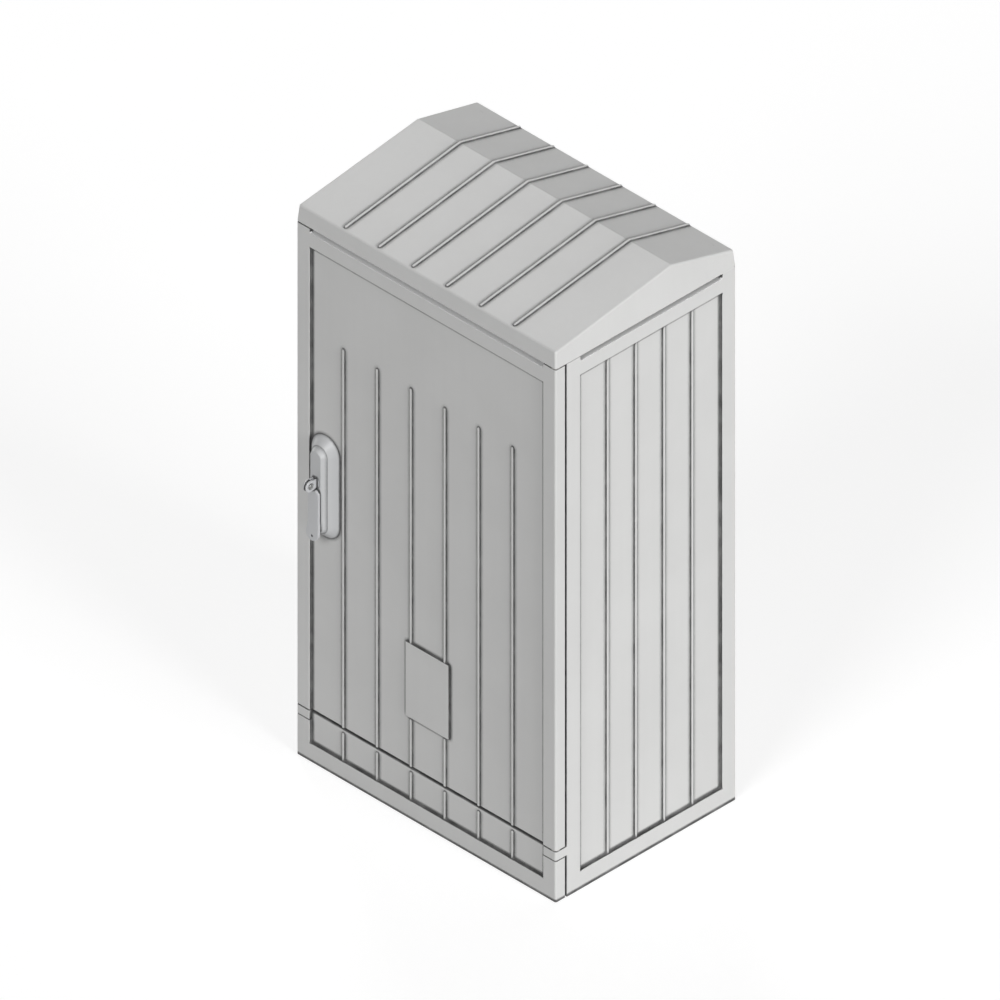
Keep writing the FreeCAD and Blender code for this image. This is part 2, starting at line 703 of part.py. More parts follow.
def make_roof():
    """The roof: a hollow moulded cap with a drafted skirt, two slopes and six raised ribs."""
    body = new_body("roof")
    ridge_y = behind("ridge_setback")
    ridge_z = f"({EAVE} + ridge_rise)"
    profile = Outline([(FRONT, "wall_height"), (BACK, "wall_height"), (before("roof_draft"), EAVE),
                       (ridge_y, ridge_z), (behind("roof_draft"), EAVE)])
    grow(body, "YZ", f"(-{HALF})", HALF, profile)
    hollow = Outline([(behind("wall"), "wall_height"), (before("wall"), "wall_height"),
                      (before("(wall + roof_draft)"), f"({EAVE} - wall)"),
                      (ridge_y, f"({ridge_z} - wall * 1.04)"),
                      (behind("(wall + roof_draft)"), f"({EAVE} - wall)")])
    gable = "(roof_draft * (ridge_rise + skirt_height) / skirt_height)"
    cut(body, "YZ", inset(-1, f"(wall + {gable})"), inset(1, f"(wall + {gable})"), hollow)
    for side in (-1, 1):
        outside = f"({side} * ({HALF} + wall))"
        wedge = [(inset(side, "0"), "wall_height"), (outside, "wall_height"), (outside, ridge_z),
                 (inset(side, gable), ridge_z)]
        cut(body, "XZ", f"({FRONT} - wall)", f"({BACK} + wall)", Outline(wedge if side > 0 else wedge[::-1]))
    round_edges(body, "edge_round", lambda edge: is_roof_rim(edge, ridge_z))
    for index in range(int(SIZES["front_rib_count"])):
        add_roof_rib(body, front_rib(index), ridge_y, ridge_z)
    for x, y, top in roof_post_spots():
        grow(body, "XY", SLOT_BOTTOM, top, Disc(x, y, "roof_post_radius"))
    grow(body, "XY", "wall_height", f"({EAVE} - wall / 2)",
         box(*across(1, "(wall + roof_draft / 2 - 1)", "hinge_block"),
             behind("(wall + roof_draft / 2 - 1)"), behind("hinge_block")))
    cut(body, "XY", SLOT_BOTTOM, f"({SLOT_BOTTOM} + roof_screw_bite)",
        *[Disc(x, y, "screw_radius") for x, y, _ in roof_post_spots()])
    cut(body, "XY", "wall_height", "(wall_height + upper_pin_sunk)",
        Disc(inset(1, "hinge_inset"), behind("hinge_depth"), "hinge_pin_radius"))
    return body


def is_roof_rim(edge, ridge_z):
    """True for the roof's outer edges above the skirt's foot and for its four outer corners."""
    middle = edge.valueAt((edge.FirstParameter + edge.LastParameter) / 2)
    half, deep, draft = number(HALF), number(BACK), number("roof_draft")
    share = (middle.z - number("wall_height")) / number("skirt_height")
    outer_x = abs(abs(middle.x) - (half - draft * share)) < 0.05
    outer_y = abs(abs(middle.y) - (deep - draft * share)) < 0.05
    on_top = middle.z > number(EAVE) - 0.01 and middle.z < number(ridge_z) - 0.01
    if on_top and outer_x:
        return True
    if share > 0.01 and share < 1.01:
        return outer_y and (outer_x or abs(share - 1) < 0.01)
    return False


def add_roof_rib(body, place, ridge_y, ridge_z):
    """A half-round rib that climbs the front slope, crosses the ridge and runs down to the rear eave."""
    front_run, back_run = "(ridge_setback - roof_draft)", "(cabinet_depth - ridge_setback - roof_draft)"
    start = (behind("(roof_draft + roof_rib_start)"), f"({EAVE} + ridge_rise / {front_run} * roof_rib_start)")
    end = (before("(roof_draft + edge_round)"), f"({EAVE} + ridge_rise / {back_run} * edge_round)")
    ridge = (ridge_y, ridge_z)
    for (low_y, low_z), run, way in ((start, front_run, 1), (end, back_run, -1)):
        length = f"sqrt(({ridge_y} - {low_y}) ^ 2 + ({ridge_z} - {low_z}) ^ 2)"
        bar = body.newObject("PartDesign::AdditiveCylinder", "rib_run")
        bar.setExpression("Radius", bound("rib_radius"))
        bar.setExpression("Height", bound(length))
        bar.Placement = FreeCAD.Placement(FreeCAD.Vector(), FreeCAD.Rotation(FreeCAD.Vector(-way, 0, 0), 80))
        bar.setExpression(".Placement.Rotation.Angle", bound(f"90deg - atan(ridge_rise / {run})"))
        place_at(bar, place, low_y, low_z)
    for y, z in (start, ridge, end):
        dome = body.newObject("PartDesign::AdditiveSphere", "rib_end")
        dome.setExpression("Radius", bound("rib_radius"))
        place_at(dome, place, y, z)


def place_at(item, x, y, z):
    """Binds the position of an object to three expressions."""
    for axis, expression in (("x", x), ("y", y), ("z", z)):
        item.setExpression(f".Placement.Base.{axis}", bound(expression))


def make_front_sill():
    """The cross rail under the door opening, screwed to the ears from inside."""
    body = new_body("front_sill")
    ends = [inset(-1, "(stile_width + fit)"), inset(1, "(stile_width + fit)")]
    grow(body, "XZ", behind(STILE), behind(STILE_BACK), box(*ends, "sill_bottom", "opening_bottom"))
    for side in (-1, 1):
        tab = across(side, "sill_tab_inset", "(stile_width + 3 * wall)")
        grow(body, "XZ", behind(STILE_BACK), behind(f"({STILE_BACK} + wall)"),
             box(*tab, "sill_tab_bottom", "sill_tab_top"))
    grow(body, "XZ", behind(RIM_FRONT), behind(STILE),
         box(inset(-1, f"(stile_width - {RIM_IN} + fit)"), inset(1, f"(stile_width - {RIM_IN} + fit)"),
             f"(opening_bottom - {RIM_OUT})", f"(opening_bottom - {RIM_IN})"))
    cut(body, "XZ", behind(STILE_BACK), behind(f"({STILE_BACK} + wall)"),
        *[Disc(inset(side, EAR_SCREW), EAR_MIDDLE, HOLE) for side in (-1, 1)])
    cut(body, "XZ", behind(STILE), behind(STILE_BACK),
        *[Disc(f"({sign} * panel_post_offset)", "panel_post_height", HOLE) for sign in (-1, 1)])
    return body


def make_lower_front_panel():
    """The fixed panel below the door, with flanges that wrap round both sides."""
    body = new_body("lower_front_panel")
    recess = [inset(-1, "front_border"), inset(1, "front_border")]
    lip = "(edge_round + wall)"
    face = Outline([(f"(-{HALF})", "0"), (HALF, "0"), (HALF, "panel_height"), (recess[1], "panel_height"),
                    (recess[1], "panel_lip_height"), (recess[0], "panel_lip_height"),
                    (recess[0], "panel_height"), (f"(-{HALF})", "panel_height")])
    grow(body, "XZ", FRONT, behind("wall"), face)
    grow(body, "XZ", behind("wall"), behind(LINING),
         box(inset(-1, "(front_border - wall)"), inset(1, "(front_border - wall)"),
             "(foot_border - wall)", "panel_height"))
    grow(body, "XZ", behind("wall"), behind(LINING), box(*recess, "(panel_height - wall)", "panel_lip_height"))
    cut(body, "XZ", FRONT, behind("recess_depth"), box(*recess, "foot_border", "(panel_lip_height + wall)"))
    for side in (-1, 1):
        grow(body, "XZ", behind("wall"), behind("door_flange"),
             box(*across(side, "0", "wall"), "0", "panel_height"))
    inner = [inset(-1, "(stile_width + fit)"), inset(1, "(stile_width + fit)")]
    grow(body, "XZ", behind("wall"), behind(STILE_BACK), box(*inner, "0", "wall"))
    grow(body, "XZ", behind("wall"), behind("door_flange"), box(f"(-{HALF})", HALF, "0", "wall"))
    grow(body, "XZ", behind(LINING), behind(STILE),
         box(*recess, "(panel_lip_height - wall)", "panel_lip_height"))
    for sign in (-1, 1):
        grow(body, "XZ", behind(LINING), behind(STILE),
             Disc(f"({sign} * panel_post_offset)", "panel_post_height", "panel_post_radius"))
    cut(body, "XZ", behind(f"({STILE} - 1.5 * screw_bite)"), behind(STILE),
        *[Disc(f"({sign} * panel_post_offset)", "panel_post_height", "screw_radius") for sign in (-1, 1)])
    for index in range(int(SIZES["front_rib_count"])):
        add_rib(body, "XZ", front_rib(index), behind("recess_depth"),
                "(foot_border - wall / 2)", "(panel_lip_height - panel_rib_gap)", domed=True)
    round_edges(body, "edge_round", lambda edge: (runs_along(edge, 2) and any(
        lies_at(edge, x=inset(side, "0"), y=FRONT) for side in (-1, 1))) or (
        runs_along(edge, 0) and lies_at(edge, y=behind("recess_depth"), z="panel_lip_height")))
    return body


def make_door():
    """The door: a moulded tray with a recessed ribbed panel, return flanges and an air slot in its top."""
    body = new_body("door")
    recess = [inset(-1, "front_border"), inset(1, "front_border")]
    sides = [f"(-{HALF})", HALF]
    grow(body, "XZ", FRONT, behind("wall"), box(*sides, "door_bottom", DOOR_TOP))
    grow(body, "XZ", behind("wall"), behind(LINING),
         box(inset(-1, "(front_border - wall)"), inset(1, "(front_border - wall)"),
             "door_bottom", f"({RECESS_TOP} + wall)"))
    cut(body, "XZ", FRONT, behind("recess_depth"), box(*recess, "(door_bottom - wall)", RECESS_TOP))
    grow(body, "XZ", behind("wall"), behind("door_flange"), box(*sides, "door_bottom", SLOT_BOTTOM),
         box(inset(-1, "wall"), inset(1, "wall"), "(door_bottom + wall)", f"({SLOT_BOTTOM} - wall)"))
    for side in (-1, 1):
        grow(body, "XZ", behind("wall"), behind("door_flange"),
             box(*across(side, "0", "wall"), f"({SLOT_BOTTOM} - wall)", DOOR_TOP))
    cut(body, "XZ", FRONT, behind("wall"), box(*recess, SLOT_BOTTOM, DOOR_TOP))
    for low, high in (("door_bottom", "(door_bottom + hinge_block_height)"),
                      (f"({DOOR_TOP} - hinge_block_height)", DOOR_TOP)):
        grow(body, "XY", low, high,
             box(*across(1, "(wall / 2)", "hinge_block"), behind("(wall / 2)"), behind("hinge_block")))
    for index in range(int(SIZES["front_rib_count"])):
        add_door_rib(body, front_rib(index))
    grow(body, "XZ", behind("(recess_depth - pad_proud)"), behind("recess_depth"),
         box("(-pad_width / 2)", "(pad_width / 2)", "pad_bottom", "(pad_bottom + pad_height)"))
    for lift in (-1, 1):
        block = guide_pad(lift)
        grow(body, "XZ", behind(LINING), behind(f"({LINING} + guide_pad)"), block)
        cut(body, "XZ", behind("(recess_depth + wall / 2)"), behind(f"({LINING} + guide_pad)"),
            *[Disc(*spot, "small_screw_radius") for spot in guide_screw_spots(lift)])
    cut(body, "XZ", FRONT, behind(LINING), Disc(SPINDLE_X, "spindle_height", "spindle_square"),
        *[Disc(*spot, SMALL_HOLE) for spot in LOCK_SCREWS])
    for low, high in (("door_bottom", "(door_bottom + bush_length)"),
                      (f"({DOOR_TOP} - bush_length)", DOOR_TOP)):
        cut(body, "XY", low, high, Disc(inset(1, "hinge_inset"), behind("hinge_depth"), "bush_radius"))
    round_edges(body, "edge_round", lambda edge: runs_along(edge, 2) and any(
        lies_at(edge, x=inset(side, "0"), y=FRONT) for side in (-1, 1)))
    round_edges(body, "slot_round", lambda edge: runs_along(edge, 1) and any(
        lies_at(edge, x=place, z=SLOT_BOTTOM, y=behind("(wall / 2)")) for place in recess))
    return body


def add_door_rib(body, place):
    """A door rib, in two lengths where the sign pad interrupts it."""
    level = behind("recess_depth")
    if abs(number(place)) < number("pad_width / 2"):
        add_rib(body, "XZ", place, level, "door_bottom", "(pad_bottom - pad_rib_gap)", domed=True)
        add_rib(body, "XZ", place, level, "(pad_bottom + pad_height - wall)", "door_rib_top", domed=True)
    else:
        add_rib(body, "XZ", place, level, "door_bottom", "door_rib_top", domed=True)


def guide_centre(lift):
    """The height of the upper (1) or lower (-1) rod guide."""
    return f"(opening_top - guide_distance)" if lift > 0 else f"(opening_bottom + guide_distance)"


def guide_spans(lift):
    """The X spans of a guide's block and foot."""
    near = f"({SPINDLE_X} - {lift} * ({ROD_OUT} + rod_gap + guide_wall))"
    far = f"({SPINDLE_X} - {lift} * ({ROD_OUT} - rod_width - rod_gap - guide_wall))"
    foot = f"({far} + {lift} * guide_foot)"
    return near, far, foot


def guide_pad(lift):
    near, _, foot = guide_spans(lift)
    low, high = (near, foot) if lift > 0 else (foot, near)
    centre = guide_centre(lift)
    return box(low, high, f"({centre} - guide_height / 2)", f"({centre} + guide_height / 2)")


def guide_screw_spots(lift):
    far = guide_spans(lift)[1]
    return [(f"({far} + {lift} * (guide_screw_first + {index} * guide_screw_pitch))", guide_centre(lift))
            for index in (0, 1)]


def make_door_seal():
    """The rubber ring on the back of the door, which the rim of the opening presses."""
    body = new_body("door_seal")
    grow(body, "XZ", behind(LINING), behind(SEAL_BACK),
         box(inset(-1, "(stile_width - seal_width)"), inset(1, "(stile_width - seal_width)"),
             "(opening_bottom - seal_width)", "(opening_top + seal_width)"),
         box(inset(-1, "stile_width"), inset(1, "stile_width"), "opening_bottom", "opening_top"))
    round_edges(body, "(seal_width / 3)", lambda edge: lies_at(edge, y=behind(SEAL_BACK)))
    return body


def make_hinges():
    """The two corner pivots: a pin in the ear and one in the roof, each in a collared bush in the door."""
    x, y = inset(1, "hinge_inset"), behind("hinge_depth")
    low_pin = rod_stock("+Z", (x, y, f"({EAR_TOP} - lower_pin_sunk)"), "hinge_pin_radius",
                        f"(lower_pin_sunk + fit + bush_collar + bush_length - 1)")
    single("lower_hinge_pin", low_pin)
    high_pin = rod_stock("-Z", (x, y, "(wall_height + upper_pin_sunk)"), "hinge_pin_radius",
                         f"(upper_pin_sunk + door_head_gap + bush_length - 1)")
    single("upper_hinge_pin", high_pin)
    for label, direction, level, collar in (("lower_hinge_bush", "+Z", "door_bottom", "bush_collar"),
                                            ("upper_hinge_bush", "-Z", DOOR_TOP, "(bush_collar - fit)")):
        place = (x, y, level)
        sleeve = rod_stock(direction, place, "bush_radius", "bush_length")
        flange = rod_stock(direction, place, "bush_collar_radius", collar, f"-{collar}")
        bore = rod_stock(direction, place, "(hinge_pin_radius + hinge_running_gap)",
                         f"(bush_length + 2 * {collar})", f"-{collar}")
        bush = doc.addObject("Part::Cut", label)
        bush.Base = fused("bush_blank", [sleeve, flange])
        bush.Tool = bore
        single(label, bush)


def make_lock_escutcheon():
    """The handle housing: a sloped stadium with a narrower raised spine."""
    body = new_body("lock_escutcheon")
    ends = ("(spindle_height - housing_below)", "(spindle_height + housing_above)")
    blend_between(body, "XZ", behind(PANEL_FACE), stadium(SPINDLE_X, *ends, "housing_foot_radius"),
                  behind(SHELF), stadium(SPINDLE_X, *ends, "housing_shelf_radius"))
    blend_between(body, "XZ", behind(f"({SHELF} + 0.5)"), stadium(SPINDLE_X, *ends, "spine_foot_radius"),
                  behind(SPINE), stadium(SPINDLE_X, *ends, "spine_top_radius"))
    cut(body, "XZ", behind(SPINE), behind(PANEL_FACE),
        Disc(SPINDLE_X, "spindle_height", "(head_radius + head_gap)"))
    cut(body, "XZ", behind(f"({PANEL_FACE} - head_collar - 2 * fit)"), behind(PANEL_FACE),
        Disc(SPINDLE_X, "spindle_height", "(head_collar_radius + head_gap)"))
    cut(body, "XZ", behind(f"({PANEL_FACE} - screw_bite - wall)"), behind(PANEL_FACE),
        *[Disc(*spot, "small_screw_radius") for spot in LOCK_SCREWS])
    return body


def make_handle_head():
    """The turning head: a collared neck in the housing with a fork for the lever in front."""
    body = new_body("handle_head")
    neck_back = behind(f"({PANEL_FACE} - fit - head_collar)")
    grow(body, "XZ", behind(SPINE), neck_back, Disc(SPINDLE_X, "spindle_height", "head_radius"))
    grow(body, "XZ", neck_back, behind(f"({PANEL_FACE} - fit)"),
         Disc(SPINDLE_X, "spindle_height", "head_collar_radius"))
    root = ("(spindle_height - fork_root)", "(spindle_height + fork_root)")
    cheek = Outline([(behind(f"({SPINE} + wall)"), root[0]), (behind(f"({SPINE} + wall)"), root[1]),
                     (behind(SPINE), root[1]), (behind(FORK), "(spindle_height + fork_radius)"),
                     (behind(f"({FORK} - fork_radius)"), "spindle_height", "fork_radius", 1),
                     (behind(FORK), "(spindle_height - fork_radius)", "fork_radius", 1),
                     (behind(SPINE), root[0])])
    for near, far in (("(fork_gap / 2)", "(fork_gap / 2 + fork_cheek)"),
                      ("(-fork_gap / 2 - fork_cheek)", "(-fork_gap / 2)")):
        grow(body, "YZ", f"({SPINDLE_X} + {near})", f"({SPINDLE_X} + {far})", cheek)
    cut(body, "YZ", f"({SPINDLE_X} - fork_radius)", f"({SPINDLE_X} + fork_radius)",
        Disc(behind(FORK), "spindle_height", "lever_pin_radius"))
    half = "(spindle_square / 2 + square_gap)"
    cut(body, "XZ", behind(f"({SPINE} + 2 * wall)"), behind(PANEL_FACE),
        box(f"({SPINDLE_X} - {half})", f"({SPINDLE_X} + {half})",
            f"(spindle_height - {half})", f"(spindle_height + {half})"))
    return body


def make_lift_lever():
    """The flat lever with its lug, flared at the toe."""
    body = new_body("lift_lever")
    back = f"({SPINE} - lever_gap)"
    face = f"({back} - lever_thickness)"
    toe = f"({LEVER_TOE} - lever_toe_half_width)"
    bend = f"({LEVER_WAIST} - wall)"
    side = Outline([(behind(face), LEVER_TOP), (behind(face), bend), (behind(f"({face} - lever_flare)"), toe),
                    (behind(f"({back} - lever_flare)"), toe), (behind(back), bend), (behind(back), LEVER_TOP)])
    grow(body, "YZ", f"({SPINDLE_X} - lever_toe_half_width)", f"({SPINDLE_X} + lever_toe_half_width)", side)
    for sign in (-1, 1):
        edge = f"({SPINDLE_X} + {sign} * lever_half_width)"
        wide = f"({SPINDLE_X} + {sign} * lever_toe_half_width)"
        beyond = f"({SPINDLE_X} + {sign} * 2 * lever_toe_half_width)"
        shoulder = f"({SPINDLE_X} + {sign} * lever_half_width / 2)"
        waste = [(shoulder, LEVER_TOP), (shoulder, f"({LEVER_TOP} + 1)"),
                 (beyond, f"({LEVER_TOP} + 1)"), (beyond, f"({toe} - 1)"),
                 (SPINDLE_X, f"({toe} - 1)"), (SPINDLE_X, toe),
                 (wide, LEVER_TOE, "lever_toe_half_width", sign),
                 (edge, LEVER_WAIST), (edge, f"({LEVER_TOP} - lever_half_width / 2)")]
        cut(body, "XZ", behind(f"({face} - 2 * lever_flare)"), behind(f"({back} + 1)"), Outline(waste))
    neck = Outline([(behind(face), f"({LEVER_TOP} - 1)"), (behind(back), f"({LEVER_TOP} - 1)"),
                    (behind(back), LEVER_TOP), (behind(FORK), "(spindle_height + lug_radius)"),
                    (behind(f"({FORK} - lug_radius)"), "spindle_height", "lug_radius", 1),
                    (behind(FORK), "(spindle_height - lug_radius)", "lug_radius", 1)])
    grow(body, "YZ", f"({SPINDLE_X} - lug_thickness / 2)", f"({SPINDLE_X} + lug_thickness / 2)", neck)
    cut(body, "YZ", f"({SPINDLE_X} - lug_thickness)", f"({SPINDLE_X} + lug_thickness)",
        Disc(behind(FORK), "spindle_height", "(lever_pin_radius + lever_pin_gap)"))
    cut(body, "XZ", behind(f"({face} - 2 * lever_flare)"), behind(f"({back} + 1)"),
        Disc(SPINDLE_X, "(spindle_height - lever_hole_drop)", "lever_hole_radius"))
    return body


def make_lever_pin():
    """The riveted cross pin of the lever."""
    reach = "(fork_gap / 2 + fork_cheek)"
    place = (f"({SPINDLE_X} - {reach})", behind(FORK), "spindle_height")
    shank = rod_stock("+X", place, "lever_pin_radius", f"(2 * {reach})")
    near = rod_stock("+X", place, "pin_head_radius", "pin_head", "-pin_head")
    far = rod_stock("+X", place, "pin_head_radius", "pin_head", f"(2 * {reach})")
    single("lever_pin", fused("lever_pin", [shank, near, far]))


def make_lock_spindle():
    """The square bar from the head through the pinion to the tongue."""
    bar = doc.addObject("Part::Box", "square_bar")
    start = behind(f"({SPINE} + 2 * wall + fit)")
    bar.setExpression("Length", bound("spindle_square"))
    bar.setExpression("Width", bound(f"{behind('spindle_depth')} - {start}"))
    bar.setExpression("Height", bound("spindle_square"))
    bar.setExpression(".Placement.Base.x", bound(f"{SPINDLE_X} - spindle_square / 2"))
    bar.setExpression(".Placement.Base.y", bound(start))
    bar.setExpression(".Placement.Base.z", bound("spindle_height - spindle_square / 2"))
    place = (SPINDLE_X, behind("spindle_depth"), "spindle_height")
    spindle = doc.addObject("Part::Cut", "lock_spindle")
    spindle.Base = bar
    spindle.Tool = rod_stock("-Y", place, "screw_radius", "(2 * screw_bite)")
    single("lock_spindle", spindle)


def make_lock_case():
    """The open steel case on the back of the door, and its cover."""
    body = new_body("lock_case")
    left, right = f"({SPINDLE_X} - case_half_width)", f"({SPINDLE_X} + case_half_width)"
    low, high = "(spindle_height - case_half_height)", "(spindle_height + case_half_height)"
    floor_back = behind(f"({LINING} + case_floor)")
    grow(body, "XZ", behind(LINING), floor_back,
         box(left, right, f"({low} - case_ear)", f"({high} + case_ear)"))
    for near, far in ((left, f"({left} + case_steel)"), (f"({right} - case_steel)", right)):
        grow(body, "XZ", floor_back, behind("case_depth"), box(near, far, low, high))
    posts = [(SPINDLE_X, f"(spindle_height + {sign} * case_post_offset)") for sign in (-1, 1)]
    for post in posts:
        grow(body, "XZ", floor_back, behind("case_depth"), Disc(*post, "case_post_radius"))
    cut(body, "XZ", behind("(case_depth - small_screw_bite)"), behind("case_depth"),
        *[Disc(*post, "small_screw_radius") for post in posts])
    cut(body, "XZ", behind(LINING), floor_back, Disc(SPINDLE_X, "spindle_height", "(hub_radius + hub_gap)"),
        *[Disc(*spot, SMALL_HOLE) for spot in LOCK_SCREWS])
    cover = new_body("lock_cover")
    grow(cover, "XZ", behind("case_depth"), behind(COVER_BACK), box(left, right, low, high))
    cut(cover, "XZ", behind("case_depth"), behind(COVER_BACK),
        Disc(SPINDLE_X, "spindle_height", "(hub_radius + hub_gap)"),
        *[Disc(*post, SMALL_HOLE) for post in posts])
    cut(cover, "XZ", behind(f"({COVER_BACK} - case_steel)"), behind(COVER_BACK),
        *[Disc(*post, "(small_screw_head_radius + screw_hole_gap)") for post in posts])


def pinion_outline(tip, root, base, half_tooth):
    """The corners of the toothed outline: involute flanks in four steps, radial below the base circle."""
    def involute(angle):
        return math.tan(angle) - angle

    teeth = int(SIZES["gear_teeth"])
    pressure = math.atan(SIZES["flank_slope"])
    corners = []
    steps = 4
    for tooth in range(teeth):
        middle = 2 * math.pi * tooth / teeth
        flank = [(root, half_tooth + involute(pressure))]
        for step in range(steps + 1):
            radius = base + (tip - base) * step / steps
            turn = half_tooth + involute(pressure) - involute(math.acos(min(base / radius, 1)))
            flank.append((radius, turn))
        for radius, turn in flank:
            corners.append((radius, middle - turn))
        for radius, turn in reversed(flank):
            corners.append((radius, middle + turn))
    return corners


def make_lock_pinion():
    """The pinion that drives both rods, with a hub that turns in the case and its cover."""
    pitch = number(PITCH_RADIUS)
    pressure = math.atan(SIZES["flank_slope"])
    half_tooth = math.pi / (2 * SIZES["gear_teeth"]) - SIZES["gear_backlash"] / (2 * pitch)
    corners = pinion_outline(pitch + SIZES["gear_addendum"], pitch - SIZES["gear_dedendum"],
                             pitch * math.cos(pressure), half_tooth)
    centre = FreeCAD.Vector(0, 0, 0)
    points = [FreeCAD.Vector(radius * math.cos(turn), 0, radius * math.sin(turn)) for radius, turn in corners]
    backward = FreeCAD.Vector(0, 1, 0)
    wheel = Part.Face(Part.makePolygon(points + points[:1])).extrude(backward * SIZES["rod_thickness"])
    wheel.translate(backward * number("rod_depth"))
    hub_start = number(f"{LINING} + fit")
    hub = Part.makeCylinder(SIZES["hub_radius"], number(COVER_BACK) + SIZES["fit"] - hub_start,
                            centre + backward * hub_start, backward)
    half = SIZES["spindle_square"] / 2 + SIZES["square_gap"]
    square = Part.makeBox(2 * half, number(TONGUE_BACK), 2 * half, FreeCAD.Vector(-half, 0, -half))
    item = doc.addObject("Part::Feature", "lock_pinion")
    item.Shape = wheel.fuse(hub).cut(square).removeSplitter()
    item.setExpression(".Placement.Base.x", bound(SPINDLE_X))
    item.setExpression(".Placement.Base.y", bound(FRONT))
    item.setExpression(".Placement.Base.z", bound("spindle_height"))
    single("lock_pinion", item)


def make_rod(lift):
    """The upper (1) or lower (-1) rod: a flat bar with a rack that meshes with the pinion."""
    body = new_body("upper_rod" if lift > 0 else "lower_rod")
    root = f"({SPINDLE_X} - {lift} * ({PITCH_RADIUS} + gear_dedendum))"
    back = f"({SPINDLE_X} - {lift} * ({PITCH_RADIUS} + gear_dedendum + rack_back))"
    wide = f"({back} + {lift} * rod_width)"
    tip = f"({SPINDLE_X} - {lift} * ({PITCH_RADIUS} - gear_addendum))"
    start = f"(spindle_height - {lift} * rack_end)"
    shoulder = f"(spindle_height + {lift} * rod_shoulder)"
    end = "(opening_top + rod_engagement)" if lift > 0 else "(opening_bottom - rod_engagement)"
    bar = [(back, start), (root, start), (root, shoulder), (wide, shoulder), (wide, end), (back, end)]
    grow(body, "XZ", behind("rod_depth"), behind(ROD_BACK), Outline(bar))
    foot_half = f"({RACK_PITCH} / 4 + gear_dedendum * flank_slope - gear_backlash / 2)"
    tip_half = f"({RACK_PITCH} / 4 - gear_addendum * flank_slope - gear_backlash / 2)"
    sunk = f"({root} - {lift} * 0.5)"
    middle = f"(spindle_height - {lift} * 1.5 * {RACK_PITCH})"
    tooth = grow(body, "XZ", behind("rod_depth"), behind(ROD_BACK),
                 Outline([(sunk, f"({middle} - {foot_half})"), (root, f"({middle} - {foot_half})"),
                          (tip, f"({middle} - {tip_half})"), (tip, f"({middle} + {tip_half})"),
                          (root, f"({middle} + {foot_half})"), (sunk, f"({middle} + {foot_half})")]))
    pattern = body.newObject("PartDesign::LinearPattern", "rack")
    pattern.Originals = [tooth]
    pattern.Direction = (next(item for item in body.Origin.OriginFeatures if item.Role == "Z_Axis"), [""])
    pattern.Reversed = lift < 0
    pattern.setExpression("Length", bound(f"(rack_teeth - 1) * {RACK_PITCH}"))
    pattern.setExpression("Occurrences", bound("rack_teeth"))
    body.Tip = pattern
    return body


def make_rod_guide(lift):
    """The bracket that holds a rod on the back of the door."""
    body = new_body("upper_rod_guide" if lift > 0 else "lower_rod_guide")
    near, far, foot = guide_spans(lift)
    centre = guide_centre(lift)
    heights = (f"({centre} - guide_height / 2)", f"({centre} + guide_height / 2)")
    seat = f"({LINING} + guide_pad)"
    block = (near, far) if lift > 0 else (far, near)
    plate = (near, foot) if lift > 0 else (foot, near)
    grow(body, "XZ", behind(seat), behind(f"({seat} + guide_foot_thickness)"), box(*plate, *heights))
    grow(body, "XZ", behind(seat), behind(f"({ROD_BACK} + guide_back)"), box(*block, *heights))
    slot = [f"({block[0]} + guide_wall)", f"({block[1]} - guide_wall)"]
    cut(body, "XY", *heights, box(*slot, behind("(rod_depth - rod_gap)"), behind(f"({ROD_BACK} + rod_gap)")))
    cut(body, "XZ", behind(seat), behind(f"({seat} + guide_foot_thickness)"),
        *[Disc(*spot, SMALL_HOLE) for spot in guide_screw_spots(lift)])
    return body


def make_lock_tongue():
    """The cam plate whose nose turns behind the keeper."""
    body = new_body("lock_tongue")
    nose = f"({SPINDLE_X} - tongue_reach)"
    grow(body, "XZ", behind(TONGUE_FRONT), behind(TONGUE_BACK),
         Disc(SPINDLE_X, "spindle_height", "tongue_hub_radius"))
    grow(body, "XZ", behind(TONGUE_FRONT), behind(TONGUE_BACK),
         box(nose, SPINDLE_X, "(spindle_height - tongue_half_width)", "(spindle_height + tongue_half_width)"))
    half = "(spindle_square / 2 + square_gap)"
    cut(body, "XZ", behind(TONGUE_FRONT), behind(TONGUE_BACK),
        box(f"({SPINDLE_X} - {half})", f"({SPINDLE_X} + {half})",
            f"(spindle_height - {half})", f"(spindle_height + {half})"))
    round_edges(body, "(tongue_half_width / 2)", lambda edge: runs_along(edge, 1) and lies_at(edge, x=nose))
    return body


def make_lock_keeper():
    """The strike block behind the left stile."""
    body = new_body("lock_keeper")
    low, high = "(spindle_height - keeper_height / 2)", "(spindle_height + keeper_height / 2)"
    back = behind(f"({TONGUE_FRONT} - keeper_clearance)")
    grow(body, "XZ", behind(STILE_BACK), back,
         box(*across(-1, "keeper_inset", "(keeper_inset + keeper_width)"), low, high))
    cut(body, "XZ", behind(STILE_BACK), behind(f"({STILE_BACK} + small_screw_bite)"),
        *[Disc(*spot, "small_screw_radius") for spot in KEEPER_SCREWS])
    round_edges(body, "(wall / 2)", lambda edge: runs_along(edge, 2) and lies_at(edge, y=back))
    return body


